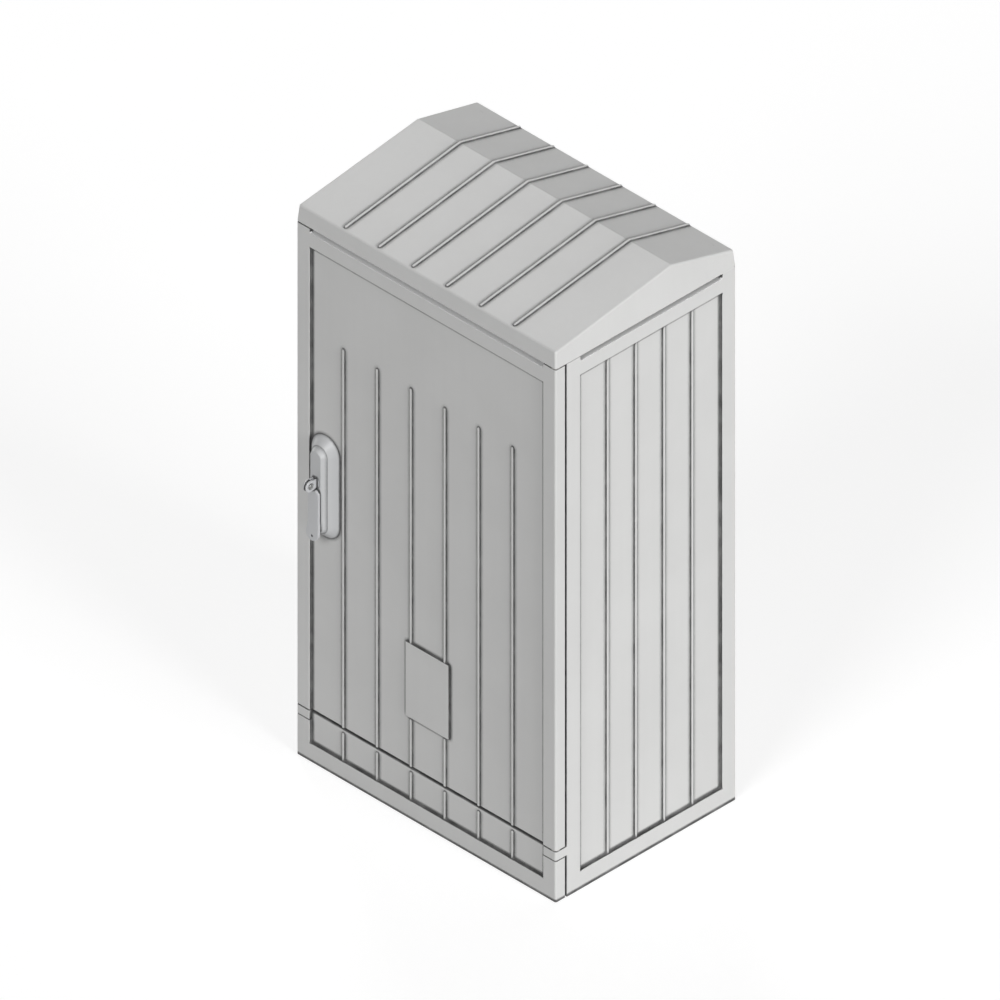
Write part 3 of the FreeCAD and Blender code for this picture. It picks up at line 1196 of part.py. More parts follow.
def make_mounting_plate():
    """The steel plate for the equipment, on four hexagon posts."""
    body = new_body("mounting_plate")
    grow(body, "XZ", PLATE_FRONT, PLATE_BACK,
         box("(-plate_half_width)", "plate_half_width", "plate_bottom", "plate_top"))
    cut(body, "XZ", PLATE_FRONT, PLATE_BACK, *[Disc(*spot, HOLE) for spot in plate_post_spots()])
    round_edges(body, "plate_corner", lambda edge: runs_along(edge, 1) and any(
        lies_at(edge, x=f"{sign} * plate_half_width") for sign in (-1, 1)))
    length = "(plate_stand_off - plate_boss_height)"
    posts = []
    for x, z in plate_post_spots():
        place = (x, before(f"({LINING} + plate_boss_height)"), z)
        hexagon = hex_stock("-Y", place, "plate_post_radius", length)
        stud = rod_stock("+Y", place, "screw_radius", "plate_boss_height")
        thread = rod_stock("-Y", place, "screw_radius", length)
        sleeve = doc.addObject("Part::Cut", "sleeve")
        sleeve.Base = hexagon
        sleeve.Tool = thread
        posts.append(fused("post", [sleeve, stud]))
    group("plate_posts", posts)
    group("plate_screws", [screw("+Y", (x, PLATE_FRONT, z), f"({length} - 1)") for x, z in plate_post_spots()])


def make_fasteners():
    """The screws of the shell and the lock, each set in one node."""
    base, frame, walls, sill = [], [], [], []
    reach = "(foot_plate + fit + screw_bite)"
    frame_reach = "(ring_plate + fit + screw_bite)"
    for side, direction in ((-1, "-X"), (1, "+X")):
        for depth in FOOT_SCREW_DEPTHS:
            place = (inset(side, f"({FRAME_IN} + foot_plate)"), behind(depth), "foot_screw_height")
            base.append(screw(direction, place, reach))
            place = (inset(side, f"({FRAME_IN} + ring_plate)"), behind(depth), HEAD_SCREW)
            frame.append(screw(direction, place, frame_reach))
        for height in SHELL_SCREWS:
            place = (inset(side, "shell_screw_depth"), before(f"({LINING} + wall)"), height)
            walls.append(screw("+Y", place, "(wall + screw_bite)"))
        place = (inset(side, EAR_SCREW), behind(f"({STILE_BACK} + wall)"), EAR_MIDDLE)
        sill.append(screw("-Y", place, "(2 * wall + 2 * screw_bite)"))
    for sign in (-1, 1):
        place = f"({sign} * {FOOT_SCREW_SPREAD})"
        base.append(screw("+Y", (place, before(f"({FRAME_IN} + foot_plate)"), "foot_screw_height"), reach))
        frame.append(screw("+Y", (place, before(f"({FRAME_IN} + ring_plate)"), HEAD_SCREW), frame_reach))
    group("base_screws", base)
    group("frame_screws", frame)
    group("wall_screws", walls)
    group("sill_screws", sill)
    seats = [(x, y, f"({SLOT_BOTTOM} - ring_plate)") for x, y, _ in roof_post_spots()]
    group("roof_screws", [screw("+Z", seat, "(ring_plate + roof_screw_bite)") for seat in seats])
    spots = [(f"({sign} * panel_post_offset)", behind(STILE_BACK), "panel_post_height") for sign in (-1, 1)]
    group("panel_screws", [screw("-Y", spot, "(wall + 1.5 * screw_bite)") for spot in spots])
    lock_back = behind(f"({LINING} + case_floor)")
    group("lock_screws", [screw("-Y", (x, lock_back, z), "(case_floor + wall + screw_bite + wall)",
                                rod_stock, "small_") for x, z in LOCK_SCREWS])
    cover = [screw("-Y", (SPINDLE_X, behind(f"({COVER_BACK} - case_steel)"),
                          f"(spindle_height + {sign} * case_post_offset)"),
                   "(case_floor - case_steel + small_screw_bite)", cover_head, "small_") for sign in (-1, 1)]
    group("cover_screws", cover)
    seat = f"({LINING} + guide_pad + guide_foot_thickness)"
    length = "(guide_foot_thickness + guide_pad + wall / 2 - fit)"
    group("guide_screws", [screw("-Y", (x, behind(seat), z), length, rod_stock, "small_")
                           for lift in (-1, 1) for x, z in guide_screw_spots(lift)])
    group("keeper_screws", [screw("+Y", (x, behind(STILE), z), "(wall + small_screw_bite)",
                                  rod_stock, "small_") for x, z in KEEPER_SCREWS])
    tongue = (SPINDLE_X, behind(TONGUE_BACK), "spindle_height")
    head = hex_stock("+Y", tongue, "tongue_half_width", "screw_head")
    shank = rod_stock("-Y", tongue, "screw_radius", "(1.5 * screw_bite)")
    single("tongue_screw", fused("tongue_screw", [head, shank]))


def cover_head(direction, place, radius, _, along):
    """A head that lies flush in the lock cover."""
    return rod_stock(direction, place, radius, "case_steel", "-case_steel")


make_base_frame()
for each_side in (-1, 1):
    make_side_wall(each_side)
make_rear_wall()
make_top_frame()
make_front_sill()
make_lower_front_panel()
make_roof()
make_door()
make_door_seal()
make_hinges()
make_lock_escutcheon()
make_handle_head()
make_lift_lever()
make_lever_pin()
make_lock_spindle()
make_lock_case()
make_lock_pinion()
for each_lift in (1, -1):
    make_rod(each_lift)
    make_rod_guide(each_lift)
make_lock_tongue()
make_lock_keeper()
make_mounting_plate()
make_fasteners()
doc.recompute()


def check_document():
    """Stops if an object failed, a cut removed nothing or a piece is not a sound solid."""
    faults = []
    for item in doc.Objects:
        if "Invalid" in item.State or "Error" in item.State:
            faults.append(f"{item.Name} ({item.Label}) is in state {item.State}")
        elif item.TypeId == "PartDesign::Pocket" and item.BaseFeature:
            if item.BaseFeature.Shape.Volume - item.Shape.Volume < 0.01:
                faults.append(f"{item.Name} of {item.getParentGeoFeatureGroup().Label} cuts nothing")
    for item in nodes:
        if item.Shape.isNull() or not item.Shape.isValid() or not item.Shape.Solids:
            faults.append(f"{item.Label} has no sound solid")
    if faults:
        raise SystemExit("\n".join(faults))


check_document()
os.makedirs("parts", exist_ok=True)
for piece in nodes:
    piece.Shape.exportStep(f"parts/{piece.Label}.step")
print(len(nodes), "pieces")
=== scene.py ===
"""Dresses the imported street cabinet: its moulded shell, its door and lock, its frames and its fasteners."""
import logging
import math
from dataclasses import dataclass
from enum import Enum
from typing import ClassVar, Dict, Iterable, List, Mapping, NamedTuple, Optional, Sequence, Tuple, Union

import bmesh
import bpy
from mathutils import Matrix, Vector
from mathutils.bvhtree import BVHTree
from mathutils.geometry import intersect_point_line


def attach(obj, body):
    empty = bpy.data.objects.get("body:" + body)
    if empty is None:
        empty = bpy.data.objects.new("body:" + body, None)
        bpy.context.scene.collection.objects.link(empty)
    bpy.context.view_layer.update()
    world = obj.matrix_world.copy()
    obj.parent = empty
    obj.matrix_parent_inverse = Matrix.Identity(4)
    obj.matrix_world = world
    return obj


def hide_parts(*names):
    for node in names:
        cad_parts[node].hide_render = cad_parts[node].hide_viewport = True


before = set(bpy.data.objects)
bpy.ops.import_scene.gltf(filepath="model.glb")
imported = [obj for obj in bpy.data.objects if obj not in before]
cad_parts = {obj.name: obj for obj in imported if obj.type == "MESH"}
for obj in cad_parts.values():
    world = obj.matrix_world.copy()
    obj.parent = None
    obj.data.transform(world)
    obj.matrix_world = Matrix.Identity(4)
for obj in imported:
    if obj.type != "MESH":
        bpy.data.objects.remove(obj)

log = logging.getLogger("cabinet")

Colour = Tuple[float, float, float]
Direction = Tuple[float, float, float]
Socket = bpy.types.NodeSocket
# What a node's input takes.
Fed = Union[Socket, float, Sequence[float]]

MILLIMETRE = 0.001
WHITE = (1.0, 1.0, 1.0)

# The display curve of a colour: straight up to the knee, then a power.
DISPLAY_MOST = 255
CURVE_KNEE = 0.04045
CURVE_SLOPE = 12.92
CURVE_OFFSET = 0.055
CURVE_POWER = 2.4

# Most of a noise pattern lies in this span of its values.
NOISE_MIDDLE = (0.3, 0.7)

# A height below the floor, for a piece with no ledge that is painted paler as painted light.
NO_LEDGE = -1.0

# Sockets of a Mix node, which has a set of them for each kind of value.
MIX_SHARE = "0"
MIX_VALUES = ("2", "3")
MIX_COLOURS = ("6", "7")
MIXED_VALUE = 0
MIXED_COLOUR = 2

# How a solid's loose triangles are merged into whole faces.
MERGE_REACH = 0.002 * MILLIMETRE
SLIVER_REACH = 0.001 * MILLIMETRE
FLAT_DEG = 0.4

# The room that a rounding needs, in widths of it, and how often it is tried.
FACE_WIDTHS = 2.3
EDGE_WIDTHS = 1.2
CROWD_WIDTHS = 3
ROUNDING_TRIES = 6

# Shading breaks at a corner, and at a shallow fold between faces that reach far.
CORNER_DEG = 32.0
FOLD_DEG = 4.0
FOLD_REACH = 6 * MILLIMETRE

# A finished face has no more sides than this.
MOST_SIDES = 4


class Body(Enum):
    """The bodies that the new pieces ride on."""

    CABINET = "cabinet"
    DOOR = "door"
    HANDLE = "handle"
    LEVER = "lever"


class Slot(Enum):
    """Names of material slots, which each finish carries but nothing in this script reads."""

    SHELL = "shell"
    HOUSING = "housing"
    HANDLE = "handle"
    GUIDE = "guide"


class Arithmetic(Enum):
    """The arithmetic of a Math node."""

    ADD = "ADD"
    SUBTRACT = "SUBTRACT"
    MULTIPLY = "MULTIPLY"
    ABSOLUTE = "ABSOLUTE"
    LARGER = "MAXIMUM"


class Blend(Enum):
    """The ways to mix two colours."""

    MIX = "MIX"
    ADD = "ADD"


class Kind(Enum):
    """What a group's socket carries."""

    COLOUR = "NodeSocketColor"
    VALUE = "NodeSocketFloat"
    NORMAL = "NodeSocketVector"


def linear(red: int, green: int, blue: int) -> Colour:
    """Turns display values from 0 to 255 into the linear colour a shader takes.

    Args:
        red: The red value.
        green: The green value.
        blue: The blue value.

    Returns:
        The linear colour.
    """
    shares = (value / DISPLAY_MOST for value in (red, green, blue))
    return tuple(share / CURVE_SLOPE if share <= CURVE_KNEE
                 else ((share + CURVE_OFFSET) / (1 + CURVE_OFFSET)) ** CURVE_POWER for share in shares)


# ---- Shader building blocks


@dataclass
class Tree:
    """A node tree with short ways to add and join nodes."""

    node_tree: bpy.types.NodeTree

    def add(self, kind: str, settings: Optional[Dict[str, object]] = None, **inputs: Fed) -> bpy.types.Node:
        """Adds a node.

        Args:
            kind: The node's type name without the ShaderNode prefix.
            settings: Properties of the node.
            **inputs: Values or sockets for its inputs, with spaces written as underscores.

        Returns:
            The new node.
        """
        name = kind if kind.startswith("Node") else f"ShaderNode{kind}"
        node = self.node_tree.nodes.new(name)
        for key, value in (settings or {}).items():
            setattr(node, key, value)
        for key, value in inputs.items():
            self.feed(node, key.replace("_", " "), value)
        return node

    def feed(self, node: bpy.types.Node, name: str, value: Fed) -> None:
        """Joins a socket to a node's input, or sets its value.

        Args:
            node: The node to feed.
            name: The input's name, or its number as text.
            value: A socket, a number, a colour or a vector.
        """
        target = node.inputs[int(name)] if name.isdigit() else node.inputs[name]
        if isinstance(value, Socket):
            self.node_tree.links.new(value, target)
        elif isinstance(value, (tuple, list)) and target.type == "RGBA":
            target.default_value = (*value, 1.0)
        else:
            target.default_value = value

    def result_of(self, operation: Arithmetic, *values: Fed) -> Socket:
        """One step of arithmetic.

        Args:
            operation: What is done.
            *values: Its numbers or sockets.

        Returns:
            The result.
        """
        node = self.add("Math", {"operation": operation.value})
        for index, value in enumerate(values):
            self.feed(node, str(index), value)
        return node.outputs[0]

    def plus(self, first: Fed, second: Fed) -> Socket:
        """The total of two values."""
        return self.result_of(Arithmetic.ADD, first, second)

    def times(self, first: Fed, second: Fed) -> Socket:
        """The product of two values."""
        return self.result_of(Arithmetic.MULTIPLY, first, second)

    def mixed(self, share: Fed, first: Fed, second: Fed, way: Blend = Blend.MIX) -> Socket:
        """Mixes two colours.

        Args:
            share: How much of the second is used.
            first: The first colour.
            second: The second colour.
            way: How they are mixed.

        Returns:
            The mixed colour.
        """
        node = self.add("Mix", {"data_type": "RGBA", "blend_type": way.value})
        for name, value in zip((MIX_SHARE, *MIX_COLOURS), (share, first, second)):
            self.feed(node, name, value)
        return node.outputs[MIXED_COLOUR]

    def point(self) -> Socket:
        """The place on a piece, on its Object coordinates."""
        return self.add("TexCoord").outputs["Object"]

    def height_of(self, vector: Socket) -> Socket:
        """The upright share of a vector."""
        return self.add("SeparateXYZ", Vector=vector).outputs["Z"]


@dataclass(frozen=True)
class Ramp:
    """A smooth change from one value to another while a mask goes from low to high."""

    low: float
    high: float
    first: float = 0.0
    last: float = 1.0

    def over(self, tree: Tree, mask: Socket) -> Socket:
        """Maps a mask, clamped at both ends.

        Args:
            tree: The tree that holds the mask.
            mask: What is mapped.

        Returns:
            The mapped value.
        """
        node = tree.add("MapRange", {"interpolation_type": "SMOOTHSTEP"})
        for index, value in enumerate((mask, self.low, self.high, self.first, self.last)):
            tree.feed(node, str(index), value)
        return node.outputs["Result"]


@dataclass(frozen=True)
class Grain:
    """A noise pattern on Object coordinates, as fine as its scale or its stretch along each axis says."""

    detail: float
    roughness: float = 0.5
    scale: float = 1.0
    stretch: Optional[Direction] = None

    def node(self, tree: Tree, scale: Optional[Socket] = None) -> bpy.types.Node:
        """Makes the pattern's node.

        Args:
            tree: The tree that gets it.
            scale: A socket that takes the place of the pattern's own scale.

        Returns:
            The noise node.
        """
        point = tree.point()
        if self.stretch:
            point = tree.add("Mapping", Vector=point, Scale=self.stretch).outputs["Vector"]
        return tree.add("TexNoise", Vector=point, Scale=scale or self.scale, Detail=self.detail,
                        Roughness=self.roughness)

    def on(self, tree: Tree, scale: Optional[Socket] = None) -> Socket:
        """The pattern's value, from 0 to 1, with its own scale or the one that is given."""
        return self.node(tree, scale).outputs["Fac"]


class Effect:
    """A shader node group that several finishes share."""

    name: ClassVar[str]
    inputs: ClassVar[Dict[str, Fed]]
    outputs: ClassVar[Dict[str, Kind]]

    def fill(self, tree: Tree, given: Mapping[str, Socket]) -> Dict[str, Socket]:
        """Makes the nodes inside the group.

        Args:
            tree: The group's tree.
            given: The group's input sockets.

        Returns:
            What each output gets.
        """
        raise NotImplementedError

    def built(self) -> bpy.types.NodeTree:
        """Makes the group the first time it is asked for.

        Returns:
            The node group.
        """
        found = bpy.data.node_groups.get(self.name)
        if found:
            return found
        group = bpy.data.node_groups.new(self.name, "ShaderNodeTree")
        for name, value in self.inputs.items():
            kind, start = (Kind.COLOUR, (*value, 1.0)) if isinstance(value, tuple) else (Kind.VALUE, value)
            group.interface.new_socket(name, in_out="INPUT", socket_type=kind.value).default_value = start
        for name, kind in self.outputs.items():
            group.interface.new_socket(name, in_out="OUTPUT", socket_type=kind.value)
        tree = Tree(group)
        given, result = tree.add("NodeGroupInput"), tree.add("NodeGroupOutput")
        for name, socket in self.fill(tree, given.outputs).items():
            tree.feed(result, name, socket)
        return group

    def put(self, tree: Tree, **values: Fed) -> bpy.types.Node:
        """Places the group in a material with its own values."""
        return tree.add("Group", {"node_tree": self.built()}, **values)


@dataclass(frozen=True)
class CornerGrime(Effect):
    """Painted shade: a darker colour where surfaces meet, as ambient occlusion finds them, in blotches; an
    upward ledge at a given height gets a paler colour instead, as painted light.
    """

    name: ClassVar[str] = "corner grime"
    # The second colour is the painted shade, and the last is the paler colour painted on the ledge as painted
    # light.
    inputs: ClassVar[Dict[str, Fed]] = {
        "Colour": (0.6, 0.6, 0.6), "Grime": (0.05, 0.05, 0.05), "Reach": 0.006, "Strength": 0.8,
        "Ledge": NO_LEDGE, "Washed": (0.9, 0.9, 0.9)}
    outputs: ClassVar[Dict[str, Kind]] = {"Colour": Kind.COLOUR, "Mask": Kind.VALUE}

    samples: int = 12
    closed: Ramp = Ramp(0.87, 0.985, 1.0, 0.0)
    blotches: Grain = Grain(detail=3.0, roughness=0.6, scale=38.0)
    uneven: Ramp = Ramp(0.25, 0.7, 0.82, 1.0)
    near_ledge: Ramp = Ramp(1 * MILLIMETRE, 2 * MILLIMETRE, 1.0, 0.0)
    facing_up: Ramp = Ramp(0.3, 0.8)

    def fill(self, tree: Tree, given: Mapping[str, Socket]) -> Dict[str, Socket]:
        """Makes the painted shade from how closed a place is, with blotches, and the painted light on the
        ledge.

        Args:
            tree: The group's tree.
            given: The group's input sockets.

        Returns:
            The colour with its painted shade and its painted ledge light, and the mask of the painted shade.
        """
        # Painted shade: darker where the ambient occlusion finds the place closed in.
        sky = tree.add("AmbientOcclusion", {"samples": self.samples}, Distance=given["Reach"]).outputs["AO"]
        closed = self.closed.over(tree, sky)
        uneven = self.uneven.over(tree, self.blotches.on(tree))
        # Painted light: an upward face near the ledge's height gets the paler colour and loses the shade.
        off_ledge = tree.result_of(Arithmetic.SUBTRACT, tree.height_of(tree.point()), given["Ledge"])
        near_ledge = self.near_ledge.over(tree, tree.result_of(Arithmetic.ABSOLUTE, off_ledge))
        upward = tree.height_of(tree.add("NewGeometry").outputs["Normal"])
        washed = tree.times(near_ledge, self.facing_up.over(tree, upward))
        darkening = tree.times(tree.times(closed, uneven), given["Strength"])
        mask = tree.times(darkening, tree.result_of(Arithmetic.SUBTRACT, 1.0, washed))
        unshaded = tree.mixed(washed, given["Colour"], given["Washed"])
        return {"Colour": tree.mixed(mask, unshaded, given["Grime"]), "Mask": mask}


@dataclass(frozen=True)
class EdgeWear(Effect):
    """A mask of the outer edges, from how far a rounded normal leaves the true one, broken into patches; the
    finishes paint it lighter, partly as rubbing and partly as a painted highlight.
    """

    name: ClassVar[str] = "edge wear"
    inputs: ClassVar[Dict[str, Fed]] = {"Radius": 0.001, "Strength": 0.4}
    outputs: ClassVar[Dict[str, Kind]] = {"Mask": Kind.VALUE, "Normal": Kind.NORMAL}

    samples: int = 6
    bent: Ramp = Ramp(0.8, 0.998, 1.0, 0.0)
    patches: Grain = Grain(detail=4.0, roughness=0.65, scale=140.0)
    broken: Ramp = Ramp(0.25, 0.5, 0.45, 1.0)

    def fill(self, tree: Tree, given: Mapping[str, Socket]) -> Dict[str, Socket]:
        """Makes the mask, broken up by patches.

        Args:
            tree: The group's tree.
            given: The group's input sockets.

        Returns:
            The mask of the rubbed edges with their painted highlight, and the rounded normal.
        """
        rounded = tree.add("Bevel", {"samples": self.samples}, Radius=given["Radius"]).outputs["Normal"]
        match = tree.add("VectorMath", {"operation": "DOT_PRODUCT"})
        tree.feed(match, "0", rounded)
        tree.feed(match, "1", tree.add("NewGeometry").outputs["Normal"])
        bent = self.bent.over(tree, match.outputs["Value"])
        broken = self.broken.over(tree, self.patches.on(tree))
        return {"Mask": tree.times(tree.times(bent, broken), given["Strength"]), "Normal": rounded}


@dataclass(frozen=True)
class Mottle(Effect):
    """Slow changes of tone over a moulding, with faint streaks that rain leaves down its faces."""

    name: ClassVar[str] = "mottle"
    inputs: ClassVar[Dict[str, Fed]] = {"Colour": (0.6, 0.6, 0.6), "Clouds": 0.02, "Streaks": 0.015}
    outputs: ClassVar[Dict[str, Kind]] = {"Colour": Kind.COLOUR}

    clouds: Grain = Grain(detail=4.0, roughness=0.55, scale=7.0)
    cloud_tone: Ramp = Ramp(*NOISE_MIDDLE, -1.0, 1.0)
    streaks: Grain = Grain(detail=3.0, roughness=0.6, stretch=(90.0, 90.0, 2.6))
    streak_tone: Ramp = Ramp(0.35, 0.68, -1.0, 1.0)

    def fill(self, tree: Tree, given: Mapping[str, Socket]) -> Dict[str, Socket]:
        """Makes a tone that goes a little up and down from the colour.

        Args:
            tree: The group's tree.
            given: The group's input sockets.

        Returns:
            The uneven colour.
        """
        cloud = tree.times(self.cloud_tone.over(tree, self.clouds.on(tree)), given["Clouds"])
        streak = tree.times(self.streak_tone.over(tree, self.streaks.on(tree)), given["Streaks"])
        tone = tree.plus(1.0, tree.plus(cloud, streak))
        return {"Colour": tree.add("HueSaturation", Color=given["Colour"], Value=tone).outputs["Color"]}


@dataclass(frozen=True)
class MouldedSkin(Effect):
    """The surface of a pressed moulding: fine pores, a soft orange-peel and the print of the glass fibres."""

    name: ClassVar[str] = "moulded skin"
    inputs: ClassVar[Dict[str, Fed]] = {"Pore scale": 900.0, "Peel scale": 180.0, "Fibre": 0.1}
    outputs: ClassVar[Dict[str, Kind]] = {"Height": Kind.VALUE, "Grain": Kind.VALUE}

    pores: Grain = Grain(detail=2.0)
    pore_height: float = 0.5
    peel: Grain = Grain(detail=1.5, roughness=0.45)
    peel_height: float = 0.9
    strand_scale: float = 210.0
    strand: Ramp = Ramp(0.0, 0.09)

    def fill(self, tree: Tree, given: Mapping[str, Socket]) -> Dict[str, Socket]:
        """Adds up the three reliefs.

        Args:
            tree: The group's tree.
            given: The group's input sockets.

        Returns:
            The height of the relief, and the pores alone.
        """
        pores = self.pores.on(tree, given["Pore scale"])
        peel = self.peel.on(tree, given["Peel scale"])
        cells = tree.add("TexVoronoi", {"feature": "DISTANCE_TO_EDGE"}, Vector=tree.point(),
                         Scale=self.strand_scale)
        strands = tree.times(self.strand.over(tree, cells.outputs["Distance"]), given["Fibre"])
        height = tree.plus(tree.times(pores, self.pore_height), tree.times(peel, self.peel_height))
        return {"Height": tree.plus(height, strands), "Grain": pores}


@dataclass(frozen=True)
class BrushedMetal(Effect):
    """Rolling marks and small stains of a plated or rolled metal."""

    name: ClassVar[str] = "brushed metal"
    inputs: ClassVar[Dict[str, Fed]] = {"Colour": (0.6, 0.6, 0.6)}
    outputs: ClassVar[Dict[str, Kind]] = {"Colour": Kind.COLOUR, "Height": Kind.VALUE, "Roughness": Kind.VALUE}

    rolling: Grain = Grain(detail=2.0, stretch=(900.0, 900.0, 40.0))
    stains: Grain = Grain(detail=4.0, roughness=0.6, scale=60.0)
    stain_tone: Ramp = Ramp(0.3, 0.75, 1.03, 0.93)
    stain_roughness: Ramp = Ramp(0.3, 0.75, 0.30, 0.40)

    def fill(self, tree: Tree, given: Mapping[str, Socket]) -> Dict[str, Socket]:
        """Makes the marks, and stains that are darker and rougher.

        Args:
            tree: The group's tree.
            given: The group's input sockets.

        Returns:
            The stained colour, the height of the marks and the roughness.
        """
        stains = self.stains.on(tree)
        shade = tree.add("HueSaturation", Color=given["Colour"], Value=self.stain_tone.over(tree, stains))
        return {"Colour": shade.outputs["Color"], "Height": self.rolling.on(tree),
                "Roughness": self.stain_roughness.over(tree, stains)}


# Painted corner shade, and rubbed edges painted lighter, partly as a painted highlight.
CORNER_SHADE = CornerGrime()
EDGE_WEAR_AND_HIGHLIGHT = EdgeWear()
MOTTLE = Mottle()
MOULDED_SKIN = MouldedSkin()
BRUSHED_METAL = BrushedMetal()


# ---- Finishes


class Surface(NamedTuple):
    """What a finish is before its edges get their painted highlight and its corners their painted shade."""

    colour: Socket
    height: Socket
    roughness: Socket


@dataclass(frozen=True)
class Finish:
    """A material with rubbed edges painted lighter as a highlight, painted shade in its corners and a fine
    relief. Lengths are in metres.
    """

    name: str
    colour: Colour
    slot: Optional[Slot] = None
    # Painted shade in the corners: its colour, its reach, its strength, and the roughness it adds.
    grime: Colour = (0.03, 0.03, 0.028)
    grime_reach: float = 5 * MILLIMETRE
    grime_strength: float = 0.8
    grime_roughness: float = 0.3
    # Painted light: an upward ledge at this height gets this paler colour in place of the shade.
    washed_ledge: float = NO_LEDGE
    washed: Colour = (0.9, 0.9, 0.9)
    # The edge colour is a lighter tone painted on the outer edges, partly as rubbing and partly as a painted
    # highlight.
    edge: Colour = (0.8, 0.8, 0.79)
    edge_strength: float = 0.3
    edge_radius: float = 1.2 * MILLIMETRE
    relief: float = 0.12
    relief_depth: float = 0.4 * MILLIMETRE

    def surface(self, tree: Tree) -> Surface:
        """Makes the nodes of the bare material.

        Args:
            tree: The material's tree.

        Returns:
            The bare surface.
        """
        raise NotImplementedError

    def constants(self) -> Dict[str, float]:
        """The shader values that are the same all over."""
        return {}

    def material(self) -> bpy.types.Material:
        """Makes the material once.

        Returns:
            The material.
        """
        found = bpy.data.materials.get(self.name)
        if found:
            return found
        material = bpy.data.materials.new(self.name)
        material.use_nodes = True
        tree = Tree(material.node_tree)
        shader = material.node_tree.nodes["Principled BSDF"]
        bare = self.surface(tree)
        # Outer edges are painted lighter, partly as rubbing and partly as a painted highlight; corners get
        # painted shade, and the ledge painted light.
        wear_and_highlight = EDGE_WEAR_AND_HIGHLIGHT.put(tree, Radius=self.edge_radius, Strength=self.edge_strength)
        edge_lightened = tree.mixed(wear_and_highlight.outputs["Mask"], bare.colour, self.edge)
        grime = CORNER_SHADE.put(tree, Colour=edge_lightened, Grime=self.grime, Reach=self.grime_reach,
                                 Strength=self.grime_strength, Ledge=self.washed_ledge, Washed=self.washed)
        bump = tree.add("Bump", Strength=self.relief, Distance=self.relief_depth, Height=bare.height,
                        Normal=wear_and_highlight.outputs["Normal"])
        dulled = tree.times(grime.outputs["Mask"], self.grime_roughness)
        tree.feed(shader, "Base Color", grime.outputs["Colour"])
        tree.feed(shader, "Roughness", tree.plus(bare.roughness, dulled))
        tree.feed(shader, "Normal", bump.outputs["Normal"])
        for name, value in self.constants().items():
            shader.inputs[name].default_value = value
        return material


@dataclass(frozen=True)
class Moulding(Finish):
    """A moulded plastic: polyester, polyamide, acetal or rubber."""

    roughness: float = 0.42
    roughness_spread: float = 0.08
    clouds: float = 0.02
    streaks: float = 0.012
    pore_scale: float = 900.0
    peel_scale: float = 180.0
    fibre: float = 0.1
    specular: float = 0.5

    def surface(self, tree: Tree) -> Surface:
        """Makes the mottled colour and the moulded skin.

        Args:
            tree: The material's tree.

        Returns:
            The bare surface.
        """
        mottle = MOTTLE.put(tree, Colour=self.colour, Clouds=self.clouds, Streaks=self.streaks)
        skin = MOULDED_SKIN.put(tree, Pore_scale=self.pore_scale, Peel_scale=self.peel_scale, Fibre=self.fibre)
        half = self.roughness_spread / 2
        roughness = Ramp(*NOISE_MIDDLE, self.roughness - half, self.roughness + half)
        return Surface(mottle.outputs["Colour"], skin.outputs["Height"],
                       roughness.over(tree, skin.outputs["Grain"]))

    def constants(self) -> Dict[str, float]:
        """The strength of the gloss."""
        return {"Specular IOR Level": self.specular}


@dataclass(frozen=True)
class Metal(Finish):
    """A plated or galvanised metal, with crystals in its zinc where its spangle is above 0."""

    # Its corners get painted shade, and its edges a lighter painted highlight.
    grime: Colour = (0.06, 0.055, 0.05)
    grime_reach: float = 4 * MILLIMETRE
    grime_strength: float = 0.6
    edge: Colour = (0.85, 0.85, 0.84)
    edge_strength: float = 0.5
    edge_radius: float = 0.5 * MILLIMETRE
    relief: float = 0.08
    relief_depth: float = 0.2 * MILLIMETRE
    metallic: float = 1.0
    spangle: float = 0.0
    crystal_scale: float = 125.0
    crystal_bend: float = 0.004
    crystal_grain: Grain = Grain(detail=2.0, scale=260.0)

    def surface(self, tree: Tree) -> Surface:
        """Makes the brushed metal, and its crystals.

        Args:
            tree: The material's tree.

        Returns:
            The bare surface.
        """
        brushed = BRUSHED_METAL.put(tree, Colour=self.colour)
        colour = brushed.outputs["Colour"]
        if self.spangle > 0:
            bend = self.crystal_grain.node(tree).outputs["Color"]
            point = tree.mixed(self.crystal_bend, tree.point(), bend, Blend.ADD)
            crystals = tree.add("TexVoronoi", Vector=point, Scale=self.crystal_scale).outputs["Color"]
            facet = tree.add("SeparateColor", Color=crystals).outputs["Red"]
            tone = Ramp(0.0, 1.0, 1 - self.spangle, 1 + self.spangle).over(tree, facet)
            colour = tree.add("HueSaturation", Color=colour, Value=tone).outputs["Color"]
        return Surface(colour, brushed.outputs["Height"], brushed.outputs["Roughness"])

    def constants(self) -> Dict[str, float]:
        """How far it is a metal."""
        return {"Metallic": self.metallic}


# Every finish paints shade into its corners and a lighter highlight on its outer edges; the polyester's shade
# is near black, and its slot ledge is painted paler as painted light.
POLYESTER = Moulding(
    "grey polyester moulding", linear(203, 203, 202), Slot.SHELL, grime=(0.010, 0.010, 0.010),
    grime_reach=6 * MILLIMETRE, grime_strength=0.94, washed_ledge=0.8118, edge=linear(240, 240, 239),
    edge_strength=0.6, roughness=0.38, streaks=0.004, specular=0.45)
INNER_POLYESTER = Moulding(
    "grey polyester frame", linear(198, 199, 197), Slot.SHELL, grime_reach=7 * MILLIMETRE, grime_strength=0.6,
    relief=0.2, roughness=0.5, fibre=0.3)
HANDLE_SHELL = Moulding(
    "grey polyamide housing", linear(187, 188, 189), Slot.HOUSING, grime=(0.012, 0.012, 0.012),
    grime_reach=4 * MILLIMETRE, grime_strength=0.95, edge=linear(225, 225, 226), edge_strength=0.45,
    roughness=0.38, pore_scale=1500.0, peel_scale=400.0, fibre=0.0)
